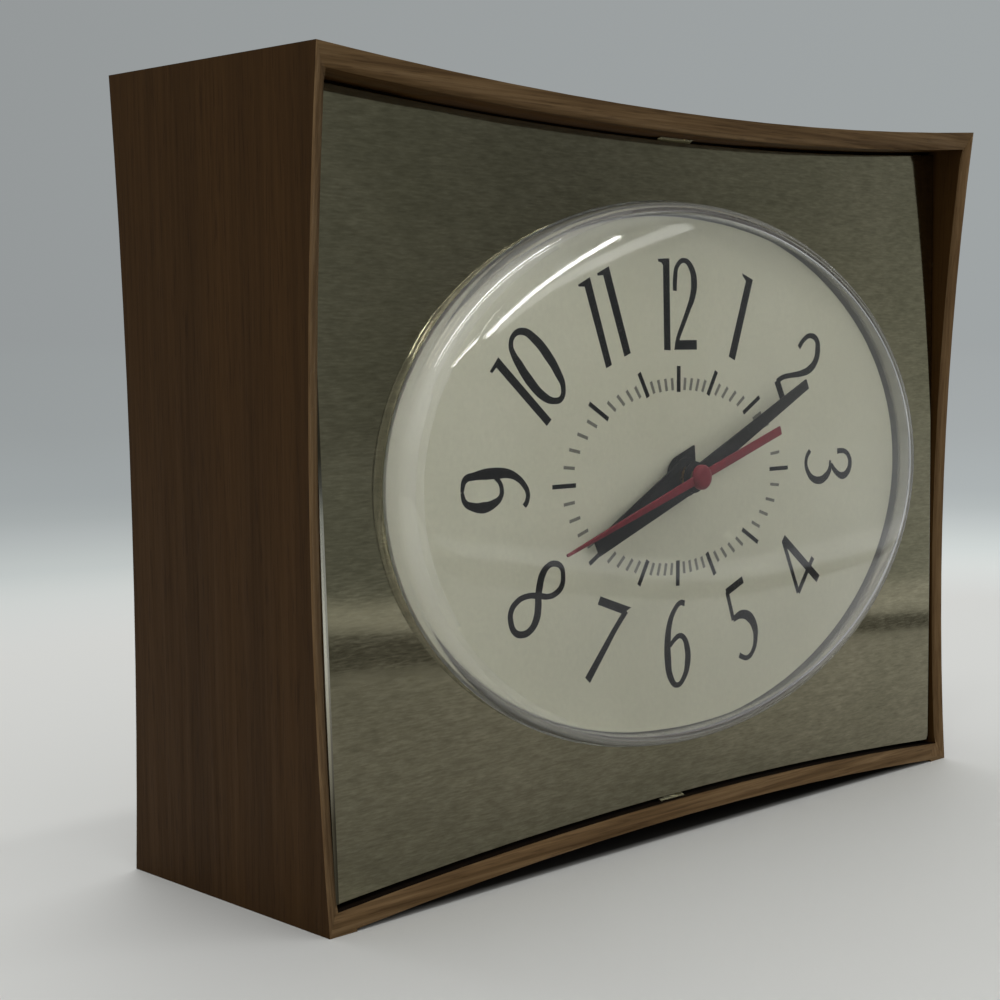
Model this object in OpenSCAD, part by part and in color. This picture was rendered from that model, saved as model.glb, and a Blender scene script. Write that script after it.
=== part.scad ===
// Electric alarm clock: a moulded case with a hollowed front, an oval domed lens over
// a lit dial, a geared movement with a synchronous motor, and setting knobs at the back.
// Millimetres. +Z is up, the front faces -Y, and the clock stands on its bottom corners.
// The face leans back a little, and all that it carries is drawn in the face's own frame:
// x to the right, w straight back from the front of the face plate, v up along the plate.

/* [Case] */
// Width of the case
case_w = 158; // [152:1:180]
// Height of the case at its corners
case_h = 120; // [116:1:140]
// Depth of the case at its corners
case_d = 47.7; // [46.5:0.1:60]
// Thickness of the side walls
side_wall = 2.2; // [1.6:0.1:3]
// Thickness of the top and bottom walls
top_wall = 3; // [2:0.1:3.6]
// How far the front edge is hollowed at mid height
front_hollow = 3; // [1:0.1:4]
// How far the back edge is hollowed at mid height
back_hollow = 2.1; // [1:0.1:3]
// How far the top and the bottom are arched inwards
arch_rise = 3.2; // [1:0.1:4]
// How far the rim slopes back from its outer to its inner edge
rim_slope = 0.8; // [0.3:0.1:1.2]
// Width of the flat under each bottom corner
rest_w = 5; // [3:0.5:8]
// Thickness of the bulkhead that carries the face
bulkhead_t = 2; // [1.5:0.1:3]

/* [Face] */
// Angle by which the face leans back
face_tilt = 2.3; // [0:0.1:4]
// Depth of the face plate behind the front corners, at its centre
face_depth = 4.2; // [3.5:0.1:6]
// How far the dial's centre lies below the middle of the case
face_drop = 0.2; // [0:0.1:2]
// Gap between the face plate and the walls of the case
plate_gap = 0.8; // [0.4:0.1:1.5]
// Thickness of the face plate's sheet
plate_t = 0.6; // [0.4:0.1:0.8]
// Radius of the face plate's rolled edge
plate_roll = 1.2; // [0.9:0.1:1.5]
// Depth of the face plate's turned edge
plate_edge = 1.6; // [1.5:0.1:2]
// Width of the tab that bridges the gap at the top
top_tab_w = 8; // [4:0.5:12]
// Width of the tab that bridges the gap at the bottom
bottom_tab_w = 6; // [4:0.5:12]
// Place of the bottom tab beside the centre line
bottom_tab_x = -3; // [-6:0.5:6]

/* [Lens] */
// Room between the lens and the side of the case
lens_side_room = 14.5; // [13:0.5:20]
// Room between the lens and the top of the case
lens_top_room = 16; // [14:0.5:20]
// Thickness of the lens
lens_t = 1.5; // [1:0.1:2]
// Height of the lens's straight side above the face plate
lens_side = 1; // [0.5:0.1:3]
// Radius of the lens's rolled shoulder
lens_roll = 4.6; // [3:0.1:6]
// Rise of the lens's crown above its shoulder
lens_crown = 3; // [2:0.1:6]
// Width of the lens's hidden flange
lens_flange = 4.4; // [3.5:0.1:5]

/* [Dial and hands] */
// Depth of the dial's front behind the face plate's front
dial_w = 0.9; // [0.7:0.1:1.1]
// Thickness of the dial
dial_t = 0.5; // [0.3:0.1:0.6]
// Thickness of each hand
hand_t = 0.35; // [0.25:0.05:0.5]
// Length of the hour hand
hour_len = 24.3; // [18:0.1:28]
// Width of the hour hand at its hub
hour_w = 6.2; // [4:0.1:7]
// Length of the minute hand
minute_len = 34.2; // [28:0.1:38]
// Width of the minute hand at its hub
minute_w = 3; // [2:0.1:4]
// Length of the second hand's pointer
second_len = 33.6; // [28:0.1:38]
// Length of the second hand's counterweight
second_tail = 22.6; // [12:0.1:26]
// Reach of the alarm hand
alarm_len = 6; // [5:0.1:12]
// Angle of the hour hand, clockwise from twelve
hour_angle = 245.4; // [0:0.1:360]
// Angle of the minute hand, clockwise from twelve
minute_angle = 65; // [0:0.1:360]
// Angle of the second hand, clockwise from twelve
second_angle = 252.4; // [0:0.1:360]
// Angle of the alarm hand, clockwise from twelve
alarm_angle = 33; // [0:1:360]

/* [Gear train] */
// Teeth of the motor's pinion
rotor_z = 10; // [9:1:12]
// Teeth of the seconds wheel
seconds_z = 36; // [34:1:38]
// Module of the motor's mesh
rotor_m = 0.5; // [0.48:0.01:0.52]
// Teeth of the pinions of the seconds arbor and the intermediate wheel
leaf_z = 8; // [7:1:9]
// Teeth of the intermediate wheel
inter_z = 60; // [56:1:62]
// Teeth of the minute wheel
minute_z = 64; // [60:1:66]
// Distance between the centre and the intermediate arbor
inter_c = 13.6; // [13.2:0.1:14]
// Teeth of the cannon pinion on the minute tube
cannon_z = 12; // [11:1:13]
// Teeth of the motion wheel
motion_z = 36; // [34:1:38]
// Teeth of the motion wheel's pinion
motion_pinion_z = 10; // [9:1:11]
// Teeth of the hour wheel
hour_z = 40; // [38:1:42]
// Distance between the centre and the motion wheel
motion_c = 9.6; // [9.4:0.1:9.8]
// Teeth of the time-setting pinion
set_z = 14; // [12:1:16]
// Teeth of the alarm wheel
alarm_z = 60; // [56:1:62]
// Teeth of the alarm-setting pinion
alarm_pinion_z = 20; // [18:1:22]
// Distance between the centre and the alarm-setting shaft
alarm_c = 16; // [15.8:0.1:16.4]
// Thickness of every wheel
wheel_t = 0.8; // [0.6:0.05:0.9]
// Radial clearance of every running fit
fit = 0.05; // [0.03:0.01:0.06]
// Radius of the second hand's arbor
arbor_r = 0.6; // [0.5:0.05:0.7]
// Wall of each of the nested tubes
tube_wall = 0.5; // [0.4:0.05:0.55]
// Radius of the setting shafts
shaft_r = 1.5; // [1.2:0.1:1.8]

/* [Movement] */
// Depth that the movement and the back cover take behind the reflector pan
movement_room = 35.1; // [35:0.1:37]
// Thickness of the movement's two plates
frame_t = 1; // [0.8:0.1:1.2]
// Half of the movement plates' width
frame_hw = 31; // [30:0.5:34]
// Room between the movement plates and the top of the lens
frame_top_room = 19.5; // [19:0.5:20]
// Bottom edge of the movement plates below the centre
frame_bottom = 27.5; // [27:0.5:30]
// Radius of the pillars between the plates
pillar_r = 2.2; // [1.8:0.1:2.6]
// Radius of the sealed rotor can
can_r = 9.9; // [9:0.1:10]
// Half of the stator's width
stator_hw = 17; // [16.5:0.1:18]
// Thickness of one lamination
lamination_t = 0.75; // [0.5:0.05:0.75]
// Number of laminations
laminations = 8; // [6:1:8]
// Width of each leg of the stator
leg_w = 6; // [5.5:0.1:6.5]
// Height of the yoke that the coil is wound on
yoke_h = 7; // [6:0.1:7.5]
// Height of the yoke's middle above the ground
yoke_z = 17.3; // [16.5:0.1:18.3]
// Thickness of the winding on the bobbin
winding_t = 3; // [2:0.1:3.4]
// Radius of the movement's screws
screw_r = 1; // [0.8:0.1:1.1]
// Radius of the heads of the movement's screws
head_r = 2.2; // [1.8:0.1:2.4]
// Height of the heads of the movement's screws
head_h = 1.2; // [0.9:0.1:1.4]

/* [Back] */
// Thickness of the back cover
cover_t = 2; // [1.5:0.1:2.5]
// How far the back cover lies inside the hollowed back edge
cover_inset = 0.8; // [0.4:0.1:2]
// Gap between the back cover and the walls of the case
cover_gap = 0.3; // [0.2:0.05:0.5]
// Radius of the two setting knobs
knob_r = 8.4; // [6:0.1:9.5]
// Length of the two setting knobs
knob_len = 9; // [6:0.1:12]
// Radius of the alarm's pull knob
pull_r = 4.4; // [3.5:0.1:5]
// Travel of the alarm's pull knob
pull_travel = 4; // [2:0.1:4.2]
// Width of a cooling slot
slot_w = 2; // [1.5:0.1:3]
// Length of a cooling slot
slot_len = 16; // [10:0.5:20]
// Number of cooling slots in each row
slots = 6; // [4:1:7]
// Radius of the cord inlet
inlet_r = 2.4; // [2:0.1:3]

/* [Hidden] */

$fn = 48;
arch_fn = 720;
oval_n = 120;
cut = 1;
snug = 0.01;
rim_land = 0.3;

function arc_radius(half_chord, rise) = (half_chord * half_chord + rise * rise) / (2 * rise);
function polar(r, a) = [r * cos(a), r * sin(a)];

// Case
half_w = case_w / 2;
face_z = case_h / 2 - face_drop;
lens_a = half_w - lens_side_room;
lens_b = case_h / 2 - lens_top_room;
arch_r = arc_radius(half_w, arch_rise);
front_r = arc_radius(case_h / 2, front_hollow);
back_r = arc_radius(case_h / 2, back_hollow);
cover_back = case_d - back_hollow - cover_inset;
cover_front = cover_back - cover_t;
boss_r = 4.2;
boss_x = half_w - side_wall - boss_r + 0.6;
boss_z = 10;
boss_hole_r = 1.5;
boss_hole_depth = 12;

// Levels behind the front of the face plate, from front to back
flange_w = plate_edge;
bulkhead_back = plate_edge + bulkhead_t;
pan_rim_w = dial_w + dial_t;
pan_wall = 2;
pan_floor_t = 1.6;
pan_depth = case_d - movement_room;
pan_flange_t = 1.6;
alarm_level = pan_depth + 0.9;
front_frame_w = pan_depth + 2.4;
hour_level = front_frame_w + frame_t + 1.9;
motion_level = hour_level + wheel_t + 0.6;
minute_level = motion_level + wheel_t + 0.6;
inter_level = minute_level + wheel_t + 0.6;
seconds_level = inter_level + wheel_t + 0.6;
back_frame_w = seconds_level + wheel_t + 1.2;
stator_w = back_frame_w + frame_t;
stator_t = laminations * lamination_t;
pinion_over = 0.2;

// Heights of the hands in front of the dial
alarm_hand_w = dial_w - 0.9;
hour_hand_w = dial_w - 2;
minute_hand_w = dial_w - 3.6;
second_hand_w = dial_w - 4.9;

// Nested tubes on the centre line, from the inside out
minute_in = arbor_r + fit;
minute_out = minute_in + tube_wall;
hour_in = minute_out + fit;
hour_out = hour_in + tube_wall;
alarm_in = hour_out + fit;
alarm_out = alarm_in + tube_wall;

// Lens
lens_shoulder_a = lens_a - lens_roll;
lens_shoulder_b = lens_b - lens_roll;
roll_end = 80;
roll_steps = 7;
crown_steps = 6;
lens_sides = 72;
lens_apex_w = -lens_side - lens_roll * sin(roll_end) - lens_crown;

// The whole clock is centred front to back between the lens and the knobs
knob_front = (cover_back - face_depth) / cos(face_tilt) + 0.3;
knob_back = knob_front + knob_len;
function y_at(w, v) = face_depth + w * cos(face_tilt) + v * sin(face_tilt);
dome_lean = pow(sin(face_tilt) * lens_shoulder_b, 2) / (4 * lens_crown * cos(face_tilt));
reach_front = y_at(lens_apex_w, 0) - dome_lean;
knob_chamfer = 0.8;

// Places in the face's frame, as seen from the front
inter_dir = 200;
motion_dir = 40;
set_dir = 20;
rotor_dir = -90;
alarm_dir = 130;
inter_at = polar(inter_c, inter_dir);
motion_at = polar(motion_c, motion_dir);
motion_m = 2 * motion_c / (motion_z + cannon_z);
hour_m = 2 * motion_c / (hour_z + motion_pinion_z);
inter_m = 2 * inter_c / (inter_z + leaf_z);
minute_m = 2 * inter_c / (minute_z + leaf_z);
alarm_m = 2 * alarm_c / (alarm_z + alarm_pinion_z);
set_at = motion_at + polar(motion_m * (motion_z + set_z) / 2, set_dir);
rotor_at = polar(rotor_m * (rotor_z + seconds_z) / 2, rotor_dir);
alarm_at = polar(alarm_c, alarm_dir);
pull_at = [10.5 - frame_hw, -13.5];
reach_back = y_at(knob_back, max(set_at[1], alarm_at[1]) + knob_r - knob_chamfer);
mid_y = (reach_front + reach_back) / 2;

// Tooth outlines: [height above the pitch circle in modules, offset in pitches]
wheel_form = [[-1.15, -0.26], [0, -0.19], [0.85, -0.07], [0.85, 0.07], [0, 0.19], [-1.15, 0.26]];
pinion_form = [[-1.15, -0.22], [0, -0.17], [0.75, -0.08], [0.75, 0.08], [0, 0.17], [-1.15, 0.22]];

// Angle of a tooth of the second gear, which lies in the direction dir from the first
function mesh_angle(dir, first, z1, z2) = dir + 180 - ((first - dir) * z1 / 360 + 0.5) * 360 / z2;
inter_pinion_a = mesh_angle(inter_dir, 0, minute_z, leaf_z);
second_pinion_a = mesh_angle(inter_dir + 180, 0, inter_z, leaf_z);
rotor_a = mesh_angle(rotor_dir, 0, seconds_z, rotor_z);
motion_wheel_a = mesh_angle(motion_dir, 0, cannon_z, motion_z);
hour_wheel_a = mesh_angle(motion_dir + 180, 0, motion_pinion_z, hour_z);
set_a = mesh_angle(set_dir, motion_wheel_a, motion_z, set_z);
alarm_pinion_a = mesh_angle(alarm_dir, 0, alarm_z, alarm_pinion_z);

// Fastening points in the face's frame
frame_top = lens_b - frame_top_room;
tap_r = screw_r + 0.1;
clear_r = screw_r + 0.2;
stud_x = lens_a - 1.5;
stud_v = lens_b - 1;
stud_r = 1;
nut_h = 1.8;
pan_screw_at = [[0, frame_top - 3], [frame_hw - 3, -1.5], [3 - frame_hw, -1.5], [0, 3.5 - frame_bottom]];
pillar_at = [for (sx = [-1, 1]) for (v = [frame_top - 4, -frame_bottom + 4]) [sx * (frame_hw - 4), v]];
lamp_at = [lens_a - 38.5, lens_b - 13];
lamp_r = 4.2;
lamp_foot = pan_depth - pan_floor_t - 0.8;
socket_r = lamp_r + 1;
socket_back = pan_depth + 7.4;

// Frames

module at_case() {
    translate([0, -mid_y, 0]) children();
}

module in_face() {
    translate([0, face_depth, face_z]) rotate([-face_tilt, 0, 0]) children();
}

module at_face() {
    at_case() in_face() children();
}

// A flat shape drawn as seen from the front, w0 to w1 deep
module slab(w0, w1) {
    translate([0, w1, 0]) rotate([90, 0, 0]) linear_extrude(w1 - w0) children();
}

// A round bar along the depth
module rod(at, w0, w1, r, r2 = undef) {
    translate([at[0], w0, at[1]]) rotate([-90, 0, 0])
        cylinder(h = w1 - w0, r1 = r, r2 = is_undef(r2) ? r : r2);
}

module tube(at, w0, w1, r, bore) {
    difference() {
        rod(at, w0, w1, r);
        rod(at, w0 - cut, w1 + cut, bore);
    }
}

function rounded(x0, x1, v0, v1, r) = [for (q = [0 : 3])
    let (x = q == 0 || q == 3 ? x1 - r : x0 + r, v = q < 2 ? v1 - r : v0 + r)
    for (t = [0 : 6]) [x, v] + polar(r, 90 * q + 15 * t)];

function oval(a, b) = [for (i = [0 : oval_n - 1]) [a * cos(360 * i / oval_n), b * sin(360 * i / oval_n)]];

module oval_slab(a, b, w0, w1) {
    slab(w0, w1) polygon(oval(a, b));
}

// A block whose top and bottom are arched inwards. It may grow towards its back.
module arched_block(half, top, bottom, r, y0, y1, side_grow = 0, arch_grow = 0) {
    tall = top - bottom + 4 * arch_rise + 4;
    difference() {
        translate([0, 0, (top + bottom - tall) / 2]) linear_extrude(tall)
            polygon([[-half, y0], [half, y0], [half + side_grow, y1], [-half - side_grow, y1]]);
        translate([0, y0 - snug, top + r]) rotate([-90, 0, 0])
            cylinder(h = y1 - y0 + 2 * snug, r1 = r, r2 = r - arch_grow, $fn = arch_fn);
        translate([0, y0 - snug, bottom - r]) rotate([-90, 0, 0])
            cylinder(h = y1 - y0 + 2 * snug, r1 = r, r2 = r - arch_grow, $fn = arch_fn);
    }
}

// The space inside the walls of the case, drawn in by gap
module case_inside(y0, y1, gap = 0) {
    arched_block(half_w - side_wall - gap, case_h - arch_rise - top_wall - gap, arch_rise + top_wall + gap,
        arch_r + top_wall + gap, y0, y1);
}

// Gears

module gear_shape(z, m, form, first) {
    polygon([for (k = [0 : z - 1]) for (p = form) polar(m * (z / 2 + p[0]), first + (k + p[1]) * 360 / z)]);
}

module wheel(z, m, first, w0, bore, holes = 5) {
    root = m * (z / 2 - 1.15);
    hole_r = root * 0.24;
    difference() {
        slab(w0, w0 + wheel_t) gear_shape(z, m, wheel_form, first);
        rod([0, 0], w0 - cut, w0 + wheel_t + cut, bore);
        if (holes > 0) {
            for (k = [0 : holes - 1]) {
                rod(polar(root * 0.62, 90 + k * 360 / holes), w0 - cut, w0 + wheel_t + cut, hole_r, hole_r);
            }
        }
    }
}

module pinion(z, m, first, w0, w1, bore) {
    difference() {
        slab(w0, w1) gear_shape(z, m, pinion_form, first);
        rod([0, 0], w0 - cut, w1 + cut, bore);
    }
}

// Fasteners: the head stands behind w, the shank runs forwards
module screw(at, w, len, r = screw_r, wide_r = head_r, high = head_h) {
    difference() {
        union() {
            rod(at, w - len, w + snug, r);
            rod(at, w, w + high, wide_r, wide_r - high * 0.4);
        }
        translate([at[0] - wide_r, w + high * 0.5, at[1] - wide_r * 0.12])
            cube([2 * wide_r, high, wide_r * 0.24]);
    }
}

// Case and face

// The rim slopes back from a narrow land along its outer edge
module rim_cut() {
    side_slope = rim_slope / (side_wall - rim_land);
    arch_slope = (top_wall - rim_land) / rim_slope;
    out_x = half_w + cut;
    in_x = half_w - side_wall - cut;
    out_r = front_r - side_slope * (rim_land + cut);
    in_r = front_r + rim_slope + side_slope * cut;
    core_r = front_r - case_d / 2;
    deep = front_hollow + rim_slope + 2 * cut;
    grow = arch_rise + rim_land - arch_slope * cut;
    intersection() {
        translate([0, front_hollow - front_r, case_h / 2]) rotate([0, 90, 0]) rotate_extrude($fn = arch_fn)
            polygon([[core_r, -out_x], [out_r, -out_x], [in_r, -in_x], [in_r, in_x], [out_r, out_x],
                [core_r, out_x]]);
        arched_block(out_x, case_h - grow, grow, arch_r + grow - arch_rise, -cut, deep, 0,
            -arch_slope * (deep + cut));
    }
}

module front_cut() {
    translate([-half_w - cut, front_hollow - front_r, case_h / 2]) rotate([0, 90, 0])
        cylinder(h = case_w + 2 * cut, r = front_r, $fn = arch_fn);
}

module back_cut() {
    translate([-half_w - cut, case_d - back_hollow + back_r, case_h / 2]) rotate([0, 90, 0])
        cylinder(h = case_w + 2 * cut, r = back_r, $fn = arch_fn);
}

module case_walls() {
    difference() {
        union() {
            arched_block(half_w, case_h - arch_rise, arch_rise, arch_r, -cut, case_d + cut);
            for (sx = [-1, 1]) {
                translate([sx * (half_w - rest_w / 2) - rest_w / 2, -cut, 0])
                    cube([rest_w, case_d + 2 * cut, top_wall / 2]);
            }
        }
        case_inside(-2 * cut, case_d + 2 * cut);
        front_cut();
        rim_cut();
        back_cut();
    }
}

module case_bulkhead() {
    lap = side_wall / 2;
    difference() {
        intersection() {
            arched_block(half_w - lap, case_h - arch_rise - lap, arch_rise + lap, arch_r + lap, 0, case_d);
            in_face() translate([-half_w, plate_edge, -case_h]) cube([case_w, bulkhead_t, 2 * case_h]);
        }
        in_face() oval_slab(lens_a + 2, lens_b + 2, plate_edge - cut, bulkhead_back + cut);
        in_face() for (sx = [-1, 1]) for (sv = [-1, 1]) {
            rod([sx * stud_x, sv * stud_v], plate_edge - cut, bulkhead_back + cut, stud_r + 0.3);
        }
    }
}

module case_bosses() {
    for (sx = [-1, 1]) for (z = [boss_z, case_h - boss_z]) {
        difference() {
            intersection() {
                rod([sx * boss_x, z], 0, cover_front, boss_r);
                in_face() translate([-half_w, plate_edge + bulkhead_t / 2, -case_h])
                    cube([case_w, case_d, 2 * case_h]);
            }
            rod([sx * boss_x, z], cover_front - boss_hole_depth, cover_front + cut, boss_hole_r);
        }
    }
}

module case_shell() {
    color("saddlebrown") at_case() {
        case_walls();
        case_bulkhead();
        case_bosses();
    }
}

// Outline of the face plate between two levels, drawn in by inset at its front
module plate_block(w0, w1, inset0, inset1) {
    arched_block(half_w - side_wall - plate_gap - inset0,
        case_h - arch_rise - top_wall - plate_gap - face_z - inset0,
        arch_rise + top_wall + plate_gap - face_z + inset0,
        arch_r + top_wall + plate_gap + inset0, w0, w1, inset0 - inset1, inset0 - inset1);
}

module face_plate() {
    roll = [0, 30, 60, 90];
    top_v = case_h - arch_rise - top_wall - plate_gap - face_z;
    bottom_v = arch_rise + top_wall + plate_gap - face_z;
    tab_reach = plate_gap - 0.2;
    color("darkkhaki") at_face() {
        difference() {
            union() {
                for (k = [0 : 2]) {
                    plate_block(plate_roll * (1 - cos(roll[k])), plate_roll * (1 - cos(roll[k + 1])),
                        plate_roll * (1 - sin(roll[k])), plate_roll * (1 - sin(roll[k + 1])));
                }
                plate_block(plate_roll, plate_edge, 0, 0);
            }
            plate_block(plate_t, plate_edge + cut, plate_roll * 1.2, plate_t);
            oval_slab(lens_a + 0.25, lens_b + 0.25, -cut, plate_t + cut);
        }
        translate([-top_tab_w / 2, plate_t / 2, top_v - plate_t])
            cube([top_tab_w, plate_t, tab_reach + plate_t]);
        translate([bottom_tab_x - bottom_tab_w / 2, plate_t / 2, bottom_v - tab_reach])
            cube([bottom_tab_w, plate_t, tab_reach + plate_t]);
        for (sx = [-1, 1]) for (sv = [-1, 1]) {
            rod([sx * stud_x, sv * stud_v], plate_t, bulkhead_back + pan_flange_t + nut_h + 0.4, stud_r);
        }
    }
}

// The lens is one skin: out over the crown, round the flange and back inside.
// Each ring is [half width, half height, level].
function crown_rings(a, b, base, rise) = [for (k = [1 : crown_steps])
    let (s = k / crown_steps) [a * s, b * s, base - rise * (1 - s * s)]];
function roll_rings(r, from, to) = [for (k = [1 : roll_steps])
    let (t = from + (to - from) * k / roll_steps)
    [lens_shoulder_a + r * cos(t), lens_shoulder_b + r * cos(t), -lens_side - r * sin(t)]];
outer_rings = concat(
    crown_rings(lens_shoulder_a + lens_roll * cos(roll_end), lens_shoulder_b + lens_roll * cos(roll_end),
        lens_apex_w + lens_crown, lens_crown),
    roll_rings(lens_roll, roll_end, 0),
    [[lens_a, lens_b, plate_t], [lens_a + lens_flange, lens_b + lens_flange, plate_t],
        [lens_a + lens_flange, lens_b + lens_flange, flange_w]]);
inner_r = lens_roll - lens_t;
inner_rings = concat(
    crown_rings(lens_shoulder_a + inner_r * cos(roll_end), lens_shoulder_b + inner_r * cos(roll_end),
        -lens_side - inner_r * sin(roll_end), lens_crown),
    roll_rings(inner_r, roll_end, 0),
    [[lens_a - lens_t, lens_b - lens_t, flange_w]]);

module lens() {
    rings = concat(outer_rings, [for (i = [len(inner_rings) - 1 : -1 : 0]) inner_rings[i]]);
    n = lens_sides;
    last = len(rings) - 1;
    skins = [for (q = rings) for (i = [0 : n - 1])
        let (t = 360 * i / n) [q[0] * cos(t), q[2], q[1] * sin(t)]];
    points = concat(skins, [[0, lens_apex_w, 0], [0, -lens_side - inner_r * sin(roll_end) - lens_crown, 0]]);
    first_tip = n * len(rings);
    bands = [for (j = [0 : last - 1]) for (i = [0 : n - 1])
        let (k = (i + 1) % n, here = j * n, next = here + n)
        each [[here + i, next + k, here + k], [here + i, next + i, next + k]]];
    tips = [for (i = [0 : n - 1]) let (k = (i + 1) % n)
        each [[first_tip, i, k], [first_tip + 1, last * n + k, last * n + i]]];
    color("whitesmoke", 0.3) at_face()
        polyhedron(points = points, faces = concat(bands, tips), convexity = 4);
}

module dial() {
    color("ivory") at_face() difference() {
        oval_slab(lens_a - lens_t - 0.3, lens_b - lens_t - 0.3, dial_w, dial_w + dial_t);
        rod([0, 0], dial_w - cut, dial_w + dial_t + cut, alarm_out + 0.5);
    }
}

module pan_flange_shape() {
    hw = stud_x + 6;
    hv = stud_v + 5.5;
    polygon(rounded(-hw, hw, -hv, hv, 8));
}

module reflector_pan() {
    pan_a = lens_a - lens_t - 0.3;
    pan_b = lens_b - lens_t - 0.3;
    color("white") at_face() difference() {
        union() {
            oval_slab(pan_a, pan_b, pan_rim_w, pan_depth);
            slab(bulkhead_back, bulkhead_back + pan_flange_t) pan_flange_shape();
            for (p = pan_screw_at) {
                rod(p, pan_depth - snug, front_frame_w, 3);
            }
        }
        oval_slab(pan_a - pan_wall, pan_b - pan_wall, pan_rim_w - cut, pan_depth - pan_floor_t);
        rod([0, 0], 0, pan_depth + cut, alarm_out + fit);
        rod(lamp_at, 0, pan_depth + cut, socket_r + 0.1);
        rod(alarm_at, pan_depth - pan_floor_t / 2, pan_depth + cut, 1 + fit);
        for (p = pan_screw_at) {
            rod(p, pan_depth - pan_floor_t / 2, front_frame_w + cut, tap_r);
        }
        for (sx = [-1, 1]) for (sv = [-1, 1]) {
            rod([sx * stud_x, sv * stud_v], bulkhead_back - cut, bulkhead_back + pan_flange_t + cut,
                stud_r + 0.2);
        }
    }
}

module pan_nuts() {
    back = bulkhead_back + pan_flange_t;
    color("silver") at_face() for (sx = [-1, 1]) for (sv = [-1, 1]) {
        difference() {
            translate([sx * stud_x, back, sv * stud_v]) rotate([-90, 0, 0])
                cylinder(h = nut_h, r = 2.4, $fn = 6);
            rod([sx * stud_x, sv * stud_v], back - cut, back + nut_h + cut, stud_r + snug);
        }
    }
}

// Hands

module hand(angle, w, hub_r, bore) {
    difference() {
        union() {
            rod([0, 0], w, w + hand_t, hub_r);
            slab(w, w + hand_t) rotate(-angle) children();
        }
        rod([0, 0], w - cut, w + hand_t + cut, bore);
    }
}

module hour_hand() {
    color("black") at_face() hand(hour_angle, hour_hand_w, hour_w / 2 + 0.1, hour_out + snug)
        polygon([[-hour_w / 2, 0], [hour_w / 2, 0], [1.3, hour_len], [-1.3, hour_len]]);
}

module minute_hand() {
    color("black") at_face() hand(minute_angle, minute_hand_w, 2.6, minute_out + snug)
        polygon([[-minute_w / 2, 0], [minute_w / 2, 0], [0.9, minute_len], [-0.9, minute_len]]);
}

module second_hand() {
    color("firebrick") at_face() hand(second_angle, second_hand_w, 2.05, arbor_r + snug)
        polygon([[-0.75, 0], [-0.75, -second_tail], [0.75, -second_tail], [0.75, 0], [0.4, second_len],
            [-0.4, second_len]]);
}

module alarm_hand() {
    color("black") at_face() hand(alarm_angle, alarm_hand_w, 3.6, alarm_out + snug)
        polygon([[-2.6, 2.5], [2.6, 2.5], [0, alarm_len]]);
}

// Movement frame

module frame_shape() {
    polygon(rounded(-frame_hw, frame_hw, -frame_bottom, frame_top, 3));
}

module front_frame_plate() {
    back = front_frame_w + frame_t;
    color("silver") at_face() difference() {
        slab(front_frame_w, back) frame_shape();
        rod([0, 0], front_frame_w - cut, back + cut, bush_r + snug);
        rod(inter_at, front_frame_w - cut, back + cut, pivot_r + fit);
        rod(motion_at, front_frame_w - cut, back + cut, stud_pin_r + snug);
        rod(set_at, front_frame_w - cut, back + cut, 1 + fit);
        rod(alarm_at, front_frame_w - cut, back + cut, shaft_r + fit);
        for (p = pan_screw_at) {
            rod(p, front_frame_w - cut, back + cut, clear_r);
        }
    }
}

module back_frame_plate() {
    back = back_frame_w + frame_t;
    color("silver") at_face() difference() {
        slab(back_frame_w, back) frame_shape();
        rod([0, 0], back_frame_w - cut, back + cut, pivot_r + fit);
        rod(inter_at, back_frame_w - cut, back + cut, pivot_r + fit);
        rod(set_at, back_frame_w - cut, back + cut, shaft_r + fit);
        rod(alarm_at, back_frame_w - cut, back + cut, shaft_r + fit);
        rod(rotor_at, back_frame_w - cut, back + cut, can_hub_r + 0.1);
        for (p = pillar_at) {
            rod(p, back_frame_w - cut, back + cut, clear_r);
        }
        for (sx = [-1, 1]) {
            rod([sx * leg_x, stator_screw_v], back_frame_w - cut, back + cut, tap_r);
        }
        at_horns() horn_box(ring_t + 0.2, 0.2);
    }
}

bush_r = hour_out + fit + 1.3;
pivot_r = 0.4;
stud_pin_r = 0.8;
can_hub_r = 2.6;
leg_x = stator_hw - leg_w / 2;
stator_screw_v = -24;

module centre_bush() {
    back = front_frame_w + frame_t;
    color("goldenrod") at_face() difference() {
        union() {
            rod([0, 0], front_frame_w, back + snug, bush_r);
            rod([0, 0], back, back + 0.8, bush_r + 1);
        }
        rod([0, 0], front_frame_w - cut, back + 0.8 + cut, hour_out + fit);
    }
}

module frame_pillars() {
    front = front_frame_w + frame_t;
    color("goldenrod") at_face() for (p = pillar_at) {
        difference() {
            union() {
                rod(p, front, back_frame_w, pillar_r);
                rod(p, front, front + 0.6, pillar_r + 0.5);
                rod(p, back_frame_w - 0.6, back_frame_w, pillar_r + 0.5);
            }
            rod(p, back_frame_w - 5, back_frame_w + cut, tap_r);
        }
    }
}

module pillar_screws() {
    color("silver") at_face() for (p = pillar_at) {
        screw(p, back_frame_w + frame_t, frame_t + 4);
    }
}

module pan_screws() {
    color("silver") at_face() for (p = pan_screw_at) {
        screw(p, front_frame_w + frame_t, frame_t + 2.2);
    }
}

// Seconds

module second_arbor() {
    color("silver") at_face() {
        rod([0, 0], second_hand_w - 0.3, back_frame_w - 0.1, arbor_r);
        rod([0, 0], back_frame_w - 0.1 - snug, back_frame_w + frame_t - 0.1, pivot_r);
        pinion(leaf_z, inter_m, second_pinion_a, inter_level - pinion_over,
            inter_level + wheel_t + pinion_over, arbor_r - snug);
        tube([0, 0], inter_level + wheel_t + pinion_over - snug, seconds_level, 1.4, arbor_r - snug);
    }
}

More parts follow.
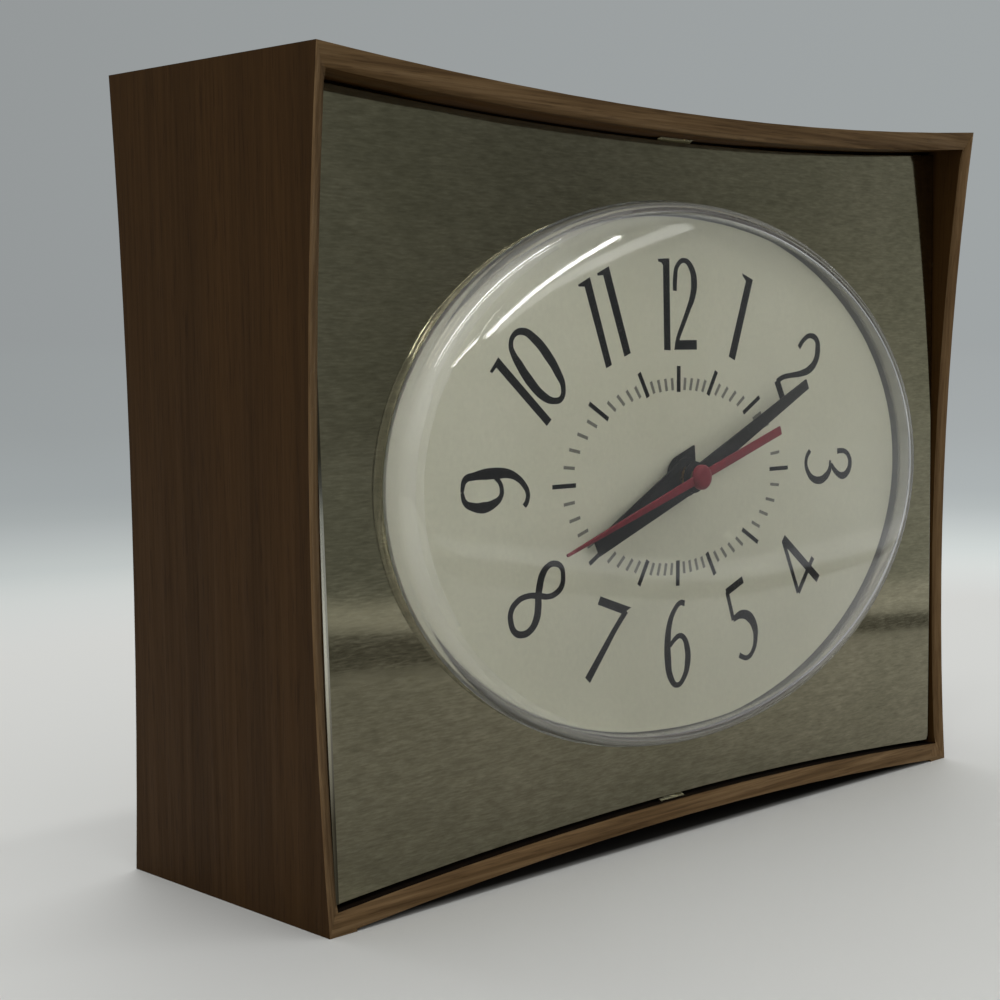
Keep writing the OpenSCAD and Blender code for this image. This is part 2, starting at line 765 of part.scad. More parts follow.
module seconds_wheel() {
    color("goldenrod") at_face() {
        wheel(seconds_z, rotor_m, 0, seconds_level, arbor_r + snug);
        tube([0, 0], seconds_level + wheel_t - snug, seconds_level + wheel_t + 0.7, 1.6, arbor_r + snug);
    }
}

// Minutes

module minute_tube() {
    color("goldenrod") at_face() {
        tube([0, 0], minute_hand_w - 0.2, minute_level + wheel_t, minute_out, minute_in);
        pinion(cannon_z, motion_m, 0, motion_level - pinion_over, motion_level + wheel_t + 0.15,
            minute_out - snug);
    }
}

module minute_wheel() {
    color("goldenrod") at_face() wheel(minute_z, minute_m, 0, minute_level, minute_out + snug);
}

module clutch_spring() {
    front = motion_level + wheel_t + 0.2;
    back = minute_level - 0.05;
    color("peru") at_face() difference() {
        union() {
            rod([0, 0], front, back, 2.4);
            for (k = [0 : 2]) {
                rotate([0, 120 * k, 0]) translate([0, front, -0.8]) cube([5, back - front, 1.6]);
            }
        }
        rod([0, 0], front - cut, minute_level + cut, minute_out + snug);
    }
}

module intermediate_wheel() {
    color("goldenrod") at_face() translate([inter_at[0], 0, inter_at[1]]) {
        wheel(inter_z, inter_m, 0, inter_level, 0.7);
        pinion(leaf_z, minute_m, inter_pinion_a, minute_level - pinion_over, inter_level + snug, 0.7);
        rod([0, 0], front_frame_w + frame_t + 0.1, back_frame_w - 0.1, 0.8);
        rod([0, 0], front_frame_w + 0.1, back_frame_w + frame_t - 0.1, pivot_r);
    }
}

// Hours

module motion_stud() {
    front = front_frame_w + frame_t;
    top = motion_level + wheel_t + 0.05;
    color("silver") at_face() {
        rod(motion_at, front_frame_w, top + snug, stud_pin_r);
        rod(motion_at, front, front + 0.9, 1.5);
        rod(motion_at, top, top + 0.35, 1.3);
    }
}

module motion_wheel() {
    front = front_frame_w + frame_t + 1.1;
    color("goldenrod") at_face() translate([motion_at[0], 0, motion_at[1]]) {
        wheel(motion_z, motion_m, motion_wheel_a, motion_level, stud_pin_r + fit);
        pinion(motion_pinion_z, hour_m, 0, hour_level - pinion_over, motion_level + snug, stud_pin_r + fit);
        tube([0, 0], front, hour_level - pinion_over + snug, 1.3, stud_pin_r + fit);
    }
}

module hour_wheel() {
    color("goldenrod") at_face() {
        wheel(hour_z, hour_m, hour_wheel_a, hour_level, hour_in);
        tube([0, 0], hour_hand_w - 0.2, hour_level + snug, hour_out, hour_in);
        tube([0, 0], hour_level - 0.7, hour_level + wheel_t + 0.2, hour_out + 0.8, hour_in);
    }
}

// Alarm

module alarm_wheel() {
    color("goldenrod") at_face() {
        wheel(alarm_z, alarm_m, 0, alarm_level, alarm_in);
        tube([0, 0], alarm_hand_w - 0.2, alarm_level + wheel_t + 0.2, alarm_out, alarm_in);
        tube([0, 0], alarm_level - 0.6, alarm_level + snug, alarm_out + 0.8, alarm_in);
    }
}

module alarm_set_shaft() {
    shoulder = pan_depth + 0.15;
    color("silver") at_face() translate([alarm_at[0], 0, alarm_at[1]]) {
        rod([0, 0], pan_depth - pan_floor_t / 2 + 0.1, shoulder + snug, 1);
        rod([0, 0], shoulder, knob_back - 2, shaft_r);
        pinion(alarm_pinion_z, alarm_m, alarm_pinion_a, alarm_level - pinion_over,
            alarm_level + wheel_t + pinion_over, shaft_r - snug);
    }
}

module time_set_shaft() {
    front = front_frame_w + frame_t;
    color("silver") at_face() translate([set_at[0], 0, set_at[1]]) {
        rod([0, 0], front_frame_w + 0.1, front + 0.1 + snug, 1);
        rod([0, 0], front + 0.1, knob_back - 2, shaft_r);
        pinion(set_z, motion_m, set_a, motion_level - pinion_over, motion_level + wheel_t + pinion_over,
            shaft_r - snug);
    }
}

// A fluted knob on a shaft of radius bore
module fluted_knob(r, w0, w1, bore, flutes) {
    tall = w1 - w0;
    difference() {
        translate([0, w0, 0]) rotate([-90, 0, 0]) rotate_extrude($fn = 96)
            polygon([[0, 0], [r - 0.4, 0], [r, 0.4], [r, tall - knob_chamfer], [r - knob_chamfer, tall],
                [r * 0.62, tall], [r * 0.56, tall - 0.5], [0, tall - 0.5]]);
        for (k = [0 : flutes - 1]) {
            rod(polar(r + 0.35, k * 360 / flutes), w0 - cut, w1 + cut, 0.9);
        }
        rod([0, 0], w0 - cut, w1 - 2 + snug, bore);
    }
}

module time_knob() {
    color("black") at_face() translate([set_at[0], 0, set_at[1]])
        fluted_knob(knob_r, knob_front, knob_back, shaft_r + snug, 20);
}

module alarm_knob() {
    color("black") at_face() translate([alarm_at[0], 0, alarm_at[1]])
        fluted_knob(knob_r, knob_front, knob_back, shaft_r + snug, 20);
}

reed_w = stator_w + stator_t + 0.5;
reed_t = 0.4;
plunger_front = reed_w + reed_t + 0.3;
pull_boss_back = (cover_back - face_depth) / cos(face_tilt) + 3;
pull_front = pull_boss_back + 0.3;
pull_len = 7;
pull_back = pull_front + pull_len;

module alarm_plunger() {
    color("silver") at_face() {
        rod(pull_at, plunger_front, pull_back - 1.5, shaft_r);
        rod(pull_at, plunger_front + 0.2, plunger_front + 0.9, shaft_r + 1);
    }
}

module alarm_pull_knob() {
    color("black") at_face() translate([pull_at[0], 0, pull_at[1]]) difference() {
        translate([0, pull_front, 0]) rotate([-90, 0, 0]) rotate_extrude($fn = 64)
            polygon([[0, 0], [pull_r - 1.2, 0], [pull_r - 1.4, 2], [pull_r, 4], [pull_r, pull_len - 0.8],
                [pull_r - 0.8, pull_len], [0, pull_len]]);
        rod([0, 0], pull_front - cut, pull_back - 1.5 + snug, shaft_r + snug);
    }
}

module buzzer_reed() {
    post = [pull_at[0] - 4.5, pull_at[1]];
    color("lightsteelblue") at_face() difference() {
        translate([post[0] - 2.5, reed_w, post[1] - 2.5]) cube([2 - stator_hw - post[0] + 2.5, reed_t, 5]);
        rod(post, reed_w - cut, reed_w + reed_t + cut, 1.05);
    }
}

module reed_post() {
    post = [pull_at[0] - 4.5, pull_at[1]];
    color("goldenrod") at_face() {
        rod(post, stator_w, reed_w, 2);
        rod(post, reed_w - snug, reed_w + reed_t + snug, 1);
        rod(post, reed_w + reed_t, reed_w + reed_t + 0.6, 1.7, 1.2);
    }
}

// Motor

module rotor_can() {
    tall = frame_t + stator_t + 3.9;
    color("peru") at_face() translate([rotor_at[0], 0, rotor_at[1]]) difference() {
        translate([0, back_frame_w - 0.5, 0]) rotate([-90, 0, 0]) rotate_extrude($fn = 96)
            polygon([[0, 0], [can_hub_r, 0], [can_hub_r, frame_t + 0.8], [can_r - 1, frame_t + 0.8],
                [can_r, frame_t + 1.8], [can_r, tall - 1.2], [can_r - 1.2, tall], [6.5, tall],
                [6, tall + 1], [0, tall + 1]]);
        rod([0, 0], back_frame_w - 0.5 - cut, back_frame_w + 4.5, stud_pin_r + fit);
    }
}

module rotor_pinion() {
    color("silver") at_face() translate([rotor_at[0], 0, rotor_at[1]]) {
        pinion(rotor_z, rotor_m, rotor_a, seconds_level - pinion_over, seconds_level + wheel_t + 0.3,
            stud_pin_r - snug);
        rod([0, 0], seconds_level - pinion_over, back_frame_w + 4.3, stud_pin_r);
    }
}

bore_r = can_r + 0.3;
pole_r = bore_r + 4.8;
pole_gap_dir = 55;
horn_x = 1;
horn_w = 3;
ring_t = 0.85;
ring_h = 1.6;
ring_rise = 0.6;
yoke_v = face_z - yoke_z;
yoke_low = -yoke_v - yoke_h / 2;

module lamination_shape(inset) {
    difference() {
        union() {
            translate([rotor_at[0], rotor_at[1]]) circle(r = pole_r - inset, $fn = 96);
            for (sx = [-1, 1]) {
                translate([sx * leg_x - leg_w / 2 + inset, yoke_low + inset])
                    square([leg_w - 2 * inset, rotor_at[1] + 4 - yoke_low - 2 * inset]);
            }
            translate([-stator_hw + inset, yoke_low + inset])
                square([2 * stator_hw - 2 * inset, yoke_h - 2 * inset]);
        }
        translate([rotor_at[0], rotor_at[1]]) circle(r = bore_r, $fn = 96);
        translate([rotor_at[0], rotor_at[1]]) for (k = [0, 1]) rotate(pole_gap_dir - 90 + 180 * k) {
            translate([-horn_x - inset, 0]) square([2 * horn_x + 2 * inset, pole_r + cut]);
            translate([horn_x + horn_w - inset, bore_r - 2])
                square([ring_t + 0.15 + 2 * inset, 2 + ring_rise + ring_h + 0.1]);
        }
    }
}

module stator_core() {
    color("slategray") at_face() difference() {
        for (k = [0 : laminations - 1]) {
            slab(stator_w + k * lamination_t, stator_w + (k + 1) * lamination_t)
                lamination_shape(k % 2 == 0 ? 0 : 0.08);
        }
        for (sx = [-1, 1]) {
            rod([sx * leg_x, stator_screw_v], stator_w - cut, stator_w + stator_t + cut, clear_r);
        }
    }
}

module stator_screws() {
    color("silver") at_face() for (sx = [-1, 1]) {
        screw([sx * leg_x, stator_screw_v], stator_w + stator_t, stator_t + frame_t);
    }
}

bobbin_gap = 0.15;
bobbin_t = 0.8;
bobbin_half = stator_hw - leg_w - 0.3;
cheek_off = bobbin_gap + bobbin_t + winding_t + 0.6;
bobbin_mid_w = stator_w + stator_t / 2;

// A box round the yoke: half length, and how far it stands off the yoke's faces
module yoke_box(half, off) {
    translate([-half, bobbin_mid_w - stator_t / 2 - off, yoke_low - off])
        cube([2 * half, stator_t + 2 * off, yoke_h + 2 * off]);
}

module coil_bobbin() {
    color("tan") at_face() difference() {
        union() {
            yoke_box(bobbin_half, bobbin_gap + bobbin_t);
            for (sx = [-1, 1]) {
                translate([sx * (bobbin_half - 0.5), 0, 0]) yoke_box(0.5, cheek_off);
            }
        }
        yoke_box(bobbin_half + cut, bobbin_gap);
    }
}

module field_coil() {
    half = bobbin_half - 1.1;
    off = bobbin_gap + bobbin_t;
    hv = yoke_h / 2 + off + winding_t;
    hd = stator_t / 2 + off + winding_t;
    color("brown") at_face() difference() {
        translate([-half, bobbin_mid_w, -yoke_v]) rotate([0, 90, 0]) linear_extrude(2 * half)
            polygon(rounded(-hv, hv, -hd, hd, winding_t));
        yoke_box(half + cut, off + snug);
    }
}

terminal_w = 2.2;

module coil_terminals() {
    gap = 0.8;
    foot = -yoke_v + yoke_h / 2 + cheek_off;
    color("goldenrod") at_face() for (k = [0, 1]) {
        translate([bobbin_half - 0.9, stator_w + gap + k * (terminal_w + gap), foot])
            cube([0.5, terminal_w, 4]);
    }
}

// The box that a shading ring fills round a pole's horn, grown by off
module horn_box(off, end = 0) {
    translate([horn_x - off, stator_w - off, bore_r + ring_rise - end])
        cube([horn_w + 2 * off, stator_t + 2 * off, ring_h + 2 * end]);
}

module at_horns() {
    translate([rotor_at[0], 0, rotor_at[1]]) for (k = [0, 1]) {
        rotate([0, 90 - pole_gap_dir + 180 * k, 0]) children();
    }
}

module shading_rings() {
    color("chocolate") at_face() at_horns() difference() {
        horn_box(ring_t);
        horn_box(snug, cut);
    }
}

// Lamp

module lamp_socket() {
    color("dimgray") at_face() difference() {
        union() {
            rod(lamp_at, lamp_foot - 0.2, socket_back, socket_r);
            rod(lamp_at, pan_depth, pan_depth + 1.2, socket_r + 2);
        }
        rod(lamp_at, lamp_foot - cut, socket_back - 1.5, lamp_r + 0.1);
    }
}

module lamp_base() {
    color("goldenrod") at_face() rod(lamp_at, lamp_foot, socket_back - 1.6, lamp_r);
}

module lamp_glass() {
    glass_r = lamp_r - 0.3;
    half = (lamp_foot - pan_rim_w - 0.9) / 2;
    dome = [for (k = [0 : 5]) [glass_r * cos(18 * k), half + half * sin(18 * k)]];
    color("lightyellow", 0.5) at_face() translate([lamp_at[0], lamp_foot, lamp_at[1]])
        rotate([90, 0, 0]) rotate_extrude() polygon(concat([[0, 0], [glass_r, 0]], dome));
}

// Back

inlet_at = [half_w - 31, 17];
slot_x = half_w - 29;
grommet_r = inlet_r + 1.6;

module cooling_slots() {
    for (sx = [-1, 1]) for (k = [0 : slots - 1]) {
        z = case_h * 0.66 - k * slot_w * 2.2;
        translate([sx * slot_x - slot_len / 2, cover_front - cut, z])
            cube([slot_len, cover_t + 2 * cut, slot_w]);
    }
}

module back_cover() {
    color("saddlebrown") at_case() difference() {
        union() {
            case_inside(cover_front, cover_back, cover_gap);
            intersection() {
                in_face() rod(pull_at, 0, pull_boss_back, shaft_r + fit + 1.6);
                translate([-half_w, cover_front, 0]) cube([case_w, case_d, case_h]);
            }
        }
        for (sx = [-1, 1]) for (z = [boss_z, case_h - boss_z]) {
            rod([sx * boss_x, z], cover_front - cut, cover_back + cut, 1.6);
        }
        in_face() {
            rod(set_at, 0, case_d, shaft_r + 0.4);
            rod(alarm_at, 0, case_d, shaft_r + 0.4);
            rod(pull_at, 0, case_d, shaft_r + fit);
        }
        rod(inlet_at, cover_front - cut, cover_back + cut, grommet_r);
        cooling_slots();
    }
}

module cover_screws() {
    color("silver") at_case() for (sx = [-1, 1]) for (z = [boss_z, case_h - boss_z]) {
        screw([sx * boss_x, z], cover_back, cover_t + 9, boss_hole_r - 0.1, 3, 1.6);
    }
}

module cord_grommet() {
    color("black") at_case() difference() {
        union() {
            rod(inlet_at, cover_front - 1, cover_back + 1, grommet_r - snug);
            rod(inlet_at, cover_front - 1.2, cover_front, grommet_r + 1.2);
            rod(inlet_at, cover_back, cover_back + 1.4, grommet_r + 1.2);
        }
        rod(inlet_at, cover_front - 2 * cut, cover_back + 2 * cut, inlet_r);
    }
}

case_shell();
face_plate();
lens();
dial();
reflector_pan();
pan_nuts();
hour_hand();
minute_hand();
second_hand();
alarm_hand();
front_frame_plate();
back_frame_plate();
centre_bush();
frame_pillars();
pillar_screws();
pan_screws();
second_arbor();
seconds_wheel();
minute_tube();
minute_wheel();
clutch_spring();
intermediate_wheel();
motion_stud();
motion_wheel();
hour_wheel();
alarm_wheel();
time_set_shaft();
time_knob();
alarm_set_shaft();
alarm_knob();
rotor_can();
rotor_pinion();
stator_core();
stator_screws();
coil_bobbin();
field_coil();
coil_terminals();
shading_rings();
buzzer_reed();
reed_post();
alarm_plunger();
alarm_pull_knob();
lamp_socket();
lamp_base();
lamp_glass();
back_cover();
cover_screws();
cord_grommet();
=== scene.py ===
import math

import bpy
from mathutils import Matrix, Vector


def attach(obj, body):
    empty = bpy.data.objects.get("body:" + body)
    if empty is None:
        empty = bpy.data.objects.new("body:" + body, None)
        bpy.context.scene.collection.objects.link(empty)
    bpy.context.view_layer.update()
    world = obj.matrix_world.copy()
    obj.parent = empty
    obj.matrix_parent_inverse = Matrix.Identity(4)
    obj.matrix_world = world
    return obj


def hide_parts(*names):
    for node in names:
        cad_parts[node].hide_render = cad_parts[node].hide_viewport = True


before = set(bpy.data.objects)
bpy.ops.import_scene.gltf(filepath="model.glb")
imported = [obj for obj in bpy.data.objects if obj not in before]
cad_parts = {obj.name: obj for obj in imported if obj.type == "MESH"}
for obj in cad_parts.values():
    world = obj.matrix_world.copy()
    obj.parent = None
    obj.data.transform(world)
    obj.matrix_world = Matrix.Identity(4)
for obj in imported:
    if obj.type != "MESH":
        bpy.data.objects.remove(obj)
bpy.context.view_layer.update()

# ---------------------------------------------------------------- measures
# Values times MM are in metres, in the clock's own frame. The others are in mm: across the face, up it and into it.
MM = 0.001
FACE_LEAN = math.radians(2.3)
FACE_CENTRE = Vector((0, -20.979, 59.8)) * MM
ON_FACE = Matrix.Translation(FACE_CENTRE) @ Matrix.Rotation(-FACE_LEAN, 4, "X")
CASE_HALF_WIDTH = 79 * MM
SIDE_WALL = 2.2 * MM
DIAL_FRONT = 0.9
INK = 0.02


# ---------------------------------------------------------------- workshop helpers
def put_down():
    bpy.ops.object.select_all(action="DESELECT")


def pick_up(piece):
    put_down()
    piece.select_set(True)
    bpy.context.view_layer.objects.active = piece


def edit(piece):
    pick_up(piece)
    bpy.ops.object.mode_set(mode="EDIT")
    bpy.ops.mesh.select_all(action="SELECT")


def edit_edges():
    """Goes on with the edges that are selected already."""
    bpy.ops.object.mode_set(mode="EDIT")
    bpy.context.tool_settings.mesh_select_mode = (False, True, False)


def turn_outward():
    """Turns the whole skin's normals outward."""
    bpy.ops.mesh.select_all(action="SELECT")
    bpy.ops.mesh.normals_make_consistent(inside=False)


def done():
    bpy.ops.object.mode_set(mode="OBJECT")
    bpy.context.tool_settings.mesh_select_mode = (True, False, False)


def apply_all(piece):
    pick_up(piece)
    for modifier in list(piece.modifiers):
        bpy.ops.object.modifier_apply(modifier=modifier.name)


def smooth(piece, degrees):
    pick_up(piece)
    bpy.ops.object.shade_smooth_by_angle(angle=math.radians(degrees))


def soften_edges(piece, width, degrees):
    bevel = piece.modifiers.new("soft edges", "BEVEL")
    bevel.width = width * MM
    bevel.segments = 2
    bevel.limit_method = "ANGLE"
    bevel.angle_limit = math.radians(degrees)
    bevel.harden_normals = False
    apply_all(piece)


def steady_normals(piece):
    """Keeps broad faces flat to the eye, so that what they mirror isn't bent near their edges."""
    weigh = piece.modifiers.new("steady normals", "WEIGHTED_NORMAL")
    weigh.mode = "FACE_AREA"
    weigh.weight = 100
    weigh.keep_sharp = True
    apply_all(piece)


def round_marked_edges(piece, part_of, width):
    """Rounds the edges where two differently named outer parts meet; part_of(face) names a face's part."""
    sides = {}
    for face in piece.data.polygons:
        part = part_of(face)
        for key in face.edge_keys:
            sides.setdefault(key, set()).add(part)
    weight = piece.data.attributes.new("bevel_weight_edge", "FLOAT", "EDGE")
    for edge in piece.data.edges:
        parts = sides.get(tuple(sorted(edge.vertices)), {None})
        weight.data[edge.index].value = 1.0 if len(parts) == 2 and None not in parts else 0.0
    bevel = piece.modifiers.new("rounded edges", "BEVEL")
    bevel.width = width * MM
    bevel.segments = 3
    bevel.limit_method = "WEIGHT"
    apply_all(piece)


def coat(piece, *finishes):
    piece.data.materials.clear()
    for finish in finishes:
        piece.data.materials.append(finish)


def fit(piece, body):
    """Puts a piece on the body that carries it."""
    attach(piece, body)


def dressed_copy(node, name, soft=0.0, degrees=35, smooth_at=32):
    """A copy of a solid with its edges softened, that stands for the solid in the finished clock."""
    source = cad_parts[node]
    piece = source.copy()
    piece.data = source.data.copy()
    piece.name = name
    piece.data.name = name
    piece.parent = None
    for key in list(piece.keys()):
        del piece[key]
    bpy.context.scene.collection.objects.link(piece)
    edit(piece)
    bpy.ops.mesh.remove_doubles(threshold=2e-6)
    bpy.ops.mesh.dissolve_limited(angle_limit=math.radians(0.1))
    done()
    if soft:
        soften_edges(piece, soft, degrees)
    smooth(piece, smooth_at)
    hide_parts(node)
    return piece


def join(pieces, name):
    """Makes one piece of several, under a name of its own."""
    put_down()
    for piece in pieces:
        piece.select_set(True)
    bpy.context.view_layer.objects.active = pieces[0]
    if len(pieces) > 1:
        bpy.ops.object.join()
    whole = bpy.context.view_layer.objects.active
    whole.name = name
    whole.data.name = name
    return whole


# ---------------------------------------------------------------- finishes
def new_finish(name):
    finish = bpy.data.materials.new(name)
    finish.use_nodes = True
    tree = finish.node_tree
    return finish, tree, tree.nodes["Principled BSDF"]


def place_pattern(tree, stretch=(1, 1, 1)):
    """The piece's own coordinates; a pattern is drawn out along an axis whose scale is below one."""
    where = tree.nodes.new("ShaderNodeTexCoord")
    mapping = tree.nodes.new("ShaderNodeMapping")
    mapping.inputs["Scale"].default_value = stretch
    tree.links.new(where.outputs["Object"], mapping.inputs["Vector"])
    return mapping.outputs["Vector"]


def noise(tree, vector, scale, detail=4.0, rough=0.55):
    texture = tree.nodes.new("ShaderNodeTexNoise")
    texture.inputs["Scale"].default_value = scale
    texture.inputs["Detail"].default_value = detail
    texture.inputs["Roughness"].default_value = rough
    tree.links.new(vector, texture.inputs["Vector"])
    return texture.outputs["Fac"]


def spread(tree, value, low, high, to_low, to_high):
    """Turns the range from low to high into the range from to_low to to_high."""
    node = tree.nodes.new("ShaderNodeMapRange")
    node.inputs["From Min"].default_value = low
    node.inputs["From Max"].default_value = high
    node.inputs["To Min"].default_value = to_low
    node.inputs["To Max"].default_value = to_high
    tree.links.new(value, node.inputs["Value"])
    return node.outputs["Result"]


def shades(tree, value, *stops):
    """Colours along a value, each stop given as (place, colour)."""
    ramp = tree.nodes.new("ShaderNodeValToRGB")
    band = ramp.color_ramp
    band.elements[0].position = stops[0][0]
    band.elements[0].color = (*stops[0][1], 1)
    band.elements[1].position = stops[-1][0]
    band.elements[1].color = (*stops[-1][1], 1)
    for place, colour in stops[1:-1]:
        band.elements.new(place).color = (*colour, 1)
    tree.links.new(value, ramp.inputs["Fac"])
    return ramp.outputs["Color"]


def blend_colours(tree, how, amount, first, second):
    mix = tree.nodes.new("ShaderNodeMix")
    mix.data_type = "RGBA"
    mix.blend_type = how
    mix.inputs[0].default_value = amount
    tree.links.new(first, mix.inputs[6])
    tree.links.new(second, mix.inputs[7])
    return mix.outputs[2]


def tinted(tree, colour, tone):
    return blend_colours(tree, "MULTIPLY", 1.0, colour, tone)


def relief(tree, value, shader, strength, depth):
    bump = tree.nodes.new("ShaderNodeBump")
    bump.inputs["Strength"].default_value = strength
    bump.inputs["Distance"].default_value = depth * MM
    tree.links.new(value, bump.inputs["Height"])
    tree.links.new(bump.outputs["Normal"], shader.inputs["Normal"])


def stock(name, dark, light, scale, rough, depth=0.01, shine=0.5, metal=0.0, stretch=(1, 1, 1)):
    """A plain stock material: two close shades, uneven sheen and a fine relief."""
    finish, tree, shader = new_finish(name)
    grain = noise(tree, place_pattern(tree, stretch), scale)
    tree.links.new(shades(tree, grain, (0.3, dark), (0.7, light)), shader.inputs["Base Color"])
    tree.links.new(spread(tree, grain, 0.3, 0.7, *rough), shader.inputs["Roughness"])
    relief(tree, grain, shader, 0.3, depth)
    shader.inputs["Metallic"].default_value = metal
    shader.inputs["Specular IOR Level"].default_value = shine
    return finish


def metal_stock(name, dark, light, scale, rough, depth=0.004, stretch=(1, 1, 1)):
    return stock(name, dark, light, scale, rough, depth, metal=1.0, stretch=stretch)


def woodgrain(name, along, dark, mid, light):
    """Printed wood grain: long streaks along one axis, with short dark pores."""
    finish, tree, shader = new_finish(name)
    streak_stretch, pore_stretch = {"Z": ((1, 1, 0.022), (1, 1, 0.05)), "X": ((0.022, 1, 1), (0.05, 1, 1))}[along]
    vector = place_pattern(tree, streak_stretch)
    streaks = noise(tree, vector, 1300, 5.0, 0.6)
    broad = noise(tree, vector, 150, 3.0, 0.5)
    pores = noise(tree, place_pattern(tree, pore_stretch), 3200, 2.0, 0.5)
    colour = shades(tree, streaks, (0.3, dark), (0.5, mid), (0.72, light))
    colour = tinted(tree, colour, shades(tree, broad, (0.32, (0.86, 0.85, 0.84)), (0.68, (1.08, 1.07, 1.06))))
    pits = shades(tree, pores, (0.34, (0.6, 0.57, 0.55)), (0.44, (1, 1, 1)))
    tree.links.new(blend_colours(tree, "MULTIPLY", 0.6, colour, pits), shader.inputs["Base Color"])
    tree.links.new(spread(tree, streaks, 0.3, 0.7, 0.56, 0.42), shader.inputs["Roughness"])
    relief(tree, streaks, shader, 0.2, 0.015)
    shader.inputs["Specular IOR Level"].default_value = 0.08
    return finish


def brushed_face():
    """Dyed metal brushed sideways: fine level scratches that blur what it mirrors."""
    finish, tree, shader = new_finish("brushed_bronze_face")
    fine = noise(tree, place_pattern(tree, (0.14, 1, 1)), 3200, 4.0, 0.65)
    broad = noise(tree, place_pattern(tree, (0.3, 1, 1)), 900, 4.0, 0.6)
    cloud = noise(tree, place_pattern(tree, (0.6, 1, 1)), 60, 3.0, 0.5)
    colour = shades(tree, fine, (0.28, (0.29, 0.263, 0.175)), (0.5, (0.37, 0.338, 0.23)), (0.74, (0.46, 0.425, 0.3)))
    colour = tinted(tree, colour, shades(tree, broad, (0.32, (0.88, 0.88, 0.86)), (0.68, (1.1, 1.1, 1.08))))
    colour = tinted(tree, colour, shades(tree, cloud, (0.35, (0.92, 0.93, 0.9)), (0.65, (1.05, 1.05, 1.04))))
    tree.links.new(colour, shader.inputs["Base Color"])
    tree.links.new(spread(tree, fine, 0.3, 0.7, 0.05, 0.1), shader.inputs["Roughness"])
    relief(tree, fine, shader, 0.06, 0.002)
    shader.inputs["Metallic"].default_value = 1.0
    return finish


def roll_with_painted_reflection():
    """The plate's rolled edge: the same metal with a painted reflection, bright over a stretch at mid height and dark
    above and below.
    """
    finish, tree, shader = new_finish("rolled_edge")
    height = tree.nodes.new("ShaderNodeSeparateXYZ")
    tree.links.new(tree.nodes.new("ShaderNodeTexCoord").outputs["Object"], height.inputs[0])
    colour = shades(tree, height.outputs["Z"], (0.016, (0.1, 0.088, 0.06)), (0.03, (0.5, 0.47, 0.37)),
                    (0.042, (0.95, 0.93, 0.8)), (0.058, (0.95, 0.93, 0.8)), (0.064, (0.1, 0.088, 0.06)))
    wear = noise(tree, place_pattern(tree, (1, 1, 0.1)), 900, 3.0, 0.5)
    colour = tinted(tree, colour, shades(tree, wear, (0.3, (0.85, 0.85, 0.84)), (0.7, (1.1, 1.1, 1.1))))
    tree.links.new(colour, shader.inputs["Base Color"])
    tree.links.new(spread(tree, wear, 0.3, 0.7, 0.16, 0.28), shader.inputs["Roughness"])
    shader.inputs["Metallic"].default_value = 1.0
    return finish


def dial_card():
    """Matt white card, a little uneven in its tone."""
    finish, tree, shader = new_finish("dial_card")
    vector = place_pattern(tree)
    fine = noise(tree, vector, 1500, 3.0, 0.6)
    broad = noise(tree, vector, 35, 2.0, 0.5)
    colour = shades(tree, broad, (0.3, (0.7, 0.69, 0.54)), (0.7, (0.74, 0.73, 0.58)))
    colour = tinted(tree, colour, shades(tree, fine, (0.3, (0.96, 0.96, 0.955)), (0.7, (1.03, 1.03, 1.03))))
    tree.links.new(colour, shader.inputs["Base Color"])
    tree.links.new(spread(tree, fine, 0.3, 0.7, 0.5, 0.62), shader.inputs["Roughness"])
    relief(tree, fine, shader, 0.15, 0.01)
    shader.inputs["Specular IOR Level"].default_value = 0.3
    return finish


def clear_lens(name, let_through):
    """Clear plastic that lets the light through to the dial, with faint wear in its polish."""
    finish, tree, shader = new_finish(name)
    nodes, links = tree.nodes, tree.links
    vector = place_pattern(tree)
    wear = noise(tree, vector, 500, 5.0, 0.6)
    links.new(spread(tree, wear, 0.35, 0.75, 0.015, 0.06), shader.inputs["Roughness"])
    haze = noise(tree, vector, 40, 2.0, 0.5)
    tint = shades(tree, haze, (0.3, (0.975, 0.975, 0.96)), (0.7, (0.99, 0.99, 0.98)))
    links.new(tint, shader.inputs["Base Color"])
    shader.inputs["Transmission Weight"].default_value = let_through
    shader.inputs["IOR"].default_value = 1.49
    light_path = nodes.new("ShaderNodeLightPath")
    clear = nodes.new("ShaderNodeBsdfTransparent")
    clear.inputs["Color"].default_value = (0.93, 0.93, 0.915, 1)
    mix = nodes.new("ShaderNodeMixShader")
    links.new(light_path.outputs["Is Shadow Ray"], mix.inputs["Fac"])
    links.new(shader.outputs["BSDF"], mix.inputs[1])
    links.new(clear.outputs["BSDF"], mix.inputs[2])
    links.new(mix.outputs["Shader"], nodes["Material Output"].inputs["Surface"])
    return finish


BROWN = ((0.046, 0.0215, 0.0055), (0.054, 0.0255, 0.0065), (0.063, 0.0305, 0.0085))
# The rim browns are lighter copies of the case's brown: painted sheen, with the side rims painted lighter than the top
# and bottom rims.
SIDE_RIM_PAINTED_SHEEN_BROWN = ((0.125, 0.072, 0.031), (0.185, 0.113, 0.052), (0.26, 0.168, 0.084))
LEVEL_RIM_PAINTED_SHEEN_BROWN = ((0.085, 0.048, 0.02), (0.15, 0.091, 0.04), (0.24, 0.155, 0.077))
side_grain = woodgrain("case_side_woodgrain", "Z", *BROWN)
level_grain = woodgrain("case_level_woodgrain", "X", *BROWN)
side_rim_grain = woodgrain("side_rim_woodgrain_painted_sheen", "Z", *SIDE_RIM_PAINTED_SHEEN_BROWN)
level_rim_grain = woodgrain("level_rim_woodgrain_painted_sheen", "X", *LEVEL_RIM_PAINTED_SHEEN_BROWN)
